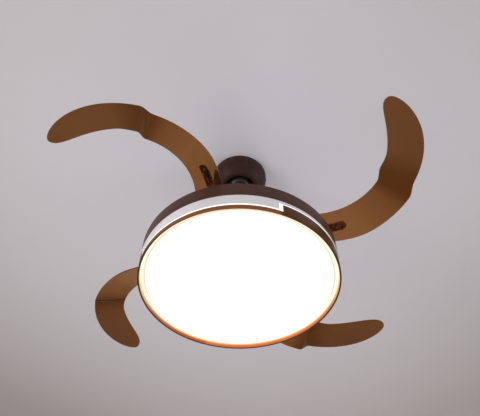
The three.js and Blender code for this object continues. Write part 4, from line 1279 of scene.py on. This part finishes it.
outer = span("light_guide")[1].x
guide = stepped_ring(guide_levels, in_guide, outer - 3.6, outer, 0.3)
finished(guide, "side_light_guide", lit_guide, "light_guide", "light_guide", sharp=50)

# ---- Lower trim ---------------------------------------------------------------------------
# Lighter brown ring that closes the drum below. The diffuser sits inside it, a little above its
# lower edge; its light on the inner wall of that lip is painted on as emission.

lip_radius = drum_radius - 4.8
lip_depth = 10.5
lip_top = light_foot + lip_depth
# painted light: the shallow quarters, below the lit slot, are painted lighter than the deep ones
slot_lit_paint = ((0.195, 0.068, 0.029), (0.24, 0.092, 0.042))  # darkest and lightest of its mottle
deep_paint = ((0.072, 0.026, 0.009), (0.092, 0.034, 0.012))
# painted shade for the trim's underside
underside_shade_paint = (0.07, 0.024, 0.012)
# painted light: emission colours for the lamp's light on the lip's inner wall, with cream as a painted
# reflection
painted_cream_light = (0.78, 0.50, 0.20)
glow_at_foot = (0.32, 0.045, 0.002)
glow_at_lamp = (0.54, 0.12, 0.006)


def from_axis(tree, place):
    """Distance of a place from the fan's axis."""
    level = times(tree, place, (1, 1, 0))
    return wired(tree, "VectorMath", {0: level}, operation="LENGTH").outputs["Value"]


def lip_brown():
    """Brown paint, painted lighter on the shallow quarters as painted light, with painted shade on its
    underside and the lamp's light painted as emission on the lip's inner wall.
    """
    material, tree = new_material("lip_brown")
    skin = film_on(tree, 24, 700, 1, 0.2)
    mottle = mask_range(tree, skin["Mottle"], 0, 1)
    deep = wired(tree, "Attribute", attribute_name="deep_quarter").outputs["Fac"]
    tone = colour_mix(tree, deep, *(colour_mix(tree, mottle, *paint)
                                    for paint in (slot_lit_paint, deep_paint)))
    place = wired(tree, "TexCoord").outputs["Object"]
    parts = wired(tree, "SeparateXYZ", {0: place}).outputs

    def rise(value, start, end, low=0, high=1):
        return mask_range(tree, value, low, high, start * mm, end * mm)

    # painted shade: the trim's underside is painted dark, except on the near side
    under = both(tree, rise(parts["Z"], light_foot + 0.3, light_foot + 0.7, 1, 0),
                 rise(parts["Y"], -170, -110))
    # painted light: emission on the lip's inner wall, orange low down, cream at its top and on the near side
    # as a painted reflection
    wall = rise(from_axis(tree, place), lip_radius + 0.25, lip_radius + 0.9, 1, 0)
    painted_lamplight = colour_mix(tree, rise(parts["Z"], light_foot, lip_top), glow_at_foot, glow_at_lamp)
    painted_lamplight = colour_mix(tree, rise(parts["Z"], lip_top - 3.5, lip_top), painted_lamplight, painted_cream_light)
    painted_lamplight = colour_mix(tree, rise(parts["Y"], -20, 100), painted_cream_light, painted_lamplight)
    shaded(tree, {
        "Base Color": colour_mix(tree, under, tone, underside_shade_paint), "Specular IOR Level": 0.15,
        "Roughness": mask_range(tree, skin["Grain"], 0.3, 0.4), "Normal": bumped(tree, skin["Grain"], 0.01),
        "Emission Color": colour_mix(tree, wall, (0, 0, 0), painted_lamplight), "Emission Strength": 1})
    return material


def in_trim(azimuth, height):
    return height < trim_shallow or from_deep_quarter(azimuth) < 45 - half_slot


lip_paint = lip_brown()
lower_trim = stepped_ring([trim_low.z, trim_shallow, trim_deep], in_trim, lip_radius, drum_radius, 0.45)
piece = finished(lower_trim, "brown_lower_trim", lip_paint, "trim_brown", "lower_trim", sharp=50)
quarter = piece.data.attributes.new("deep_quarter", "FLOAT", "POINT")
for vert in piece.data.vertices:
    azimuth = math.degrees(math.atan2(vert.co.y, vert.co.x))
    quarter.data[vert.index].value = from_deep_quarter(azimuth) < 45

# A thin upstand behind the slot carries the lip's inner wall up to the diffuser all the way round.
inner, outer = lip_radius - 0.05, lip_radius + 0.4
foot, top = trim_shallow - 0.6, trim_shallow + 4.5
upstand = turned([(inner, foot, 0), (outer, foot, 0), (outer, top, 0.1), (inner, top, 0.1)], sides=288)
finished(upstand, "lip_upstand", lip_paint, "trim_brown", "lower_trim", sharp=50)

# ---- Diffuser -----------------------------------------------------------------------------
# Opal acrylic disc, moulded with a flat border, a shallow groove inside it and a slightly bowed
# middle. The board behind lights it, white in the middle and cream at the border.

rim = lip_radius - gap
border = rim - 9.5
crown_drop = 1.2
wall = 2
flange_top = span("diffuser")[1].z
crown = [(border * 0.98 * t, lip_top - crown_drop * (1 - 0.75 * t ** 2), 0)
         for t in (0, 0.2, 0.4, 0.6, 0.8, 0.9, 1)]
diffuser = turned([
    *crown, (border - 1.2, lip_top - 0.1, 0.3), (border - 0.6, lip_top + 0.6, 0.2),
    (border, lip_top - 0.1, 0.3), (rim - 1.5, lip_top + 0.4, 0.8), (rim, lip_top + 1.8, 0.8),
    (rim, flange_top), (rim - wall, flange_top), (rim - wall, lip_top + 3.5, 1), (border, lip_top + wall, 0),
    (0, lip_top - crown_drop + wall),
], sides=240)


def lamp_glow(tree, place, grain):
    """White over the board, cream at the border, with a darker line of painted shade in the near part of the
    groove; the far side is an even cream.
    """
    groove = border / drum_radius
    # painted shade: the darker line along the groove
    line = (0.47, 0.40, 0.20)
    share = mask_range(tree, from_axis(tree, place), 0, 1, 0, drum_radius * mm)
    glow = ramped(tree, share, (
        (0, (1, 1, 1)), (0.80, (1, 0.98, 0.94)), (groove - 0.012, (0.84, 0.81, 0.73)), (groove - 0.004, line),
        (groove + 0.003, line), (groove + 0.010, (0.72, 0.71, 0.63)), (1, (0.70, 0.67, 0.57))))
    across = wired(tree, "SeparateXYZ", {0: place}).outputs["Y"]
    return colour_mix(tree, mask_range(tree, across, 0, 1, 0.03, 0.13), glow, (0.95, 0.93, 0.88))


opal = lit_plastic("opal_acrylic", (0.55, 0.54, 0.52), lamp_glow, 0.35)
finished(diffuser, "opal_diffuser", opal, "opal", "diffuser", sharp=50)
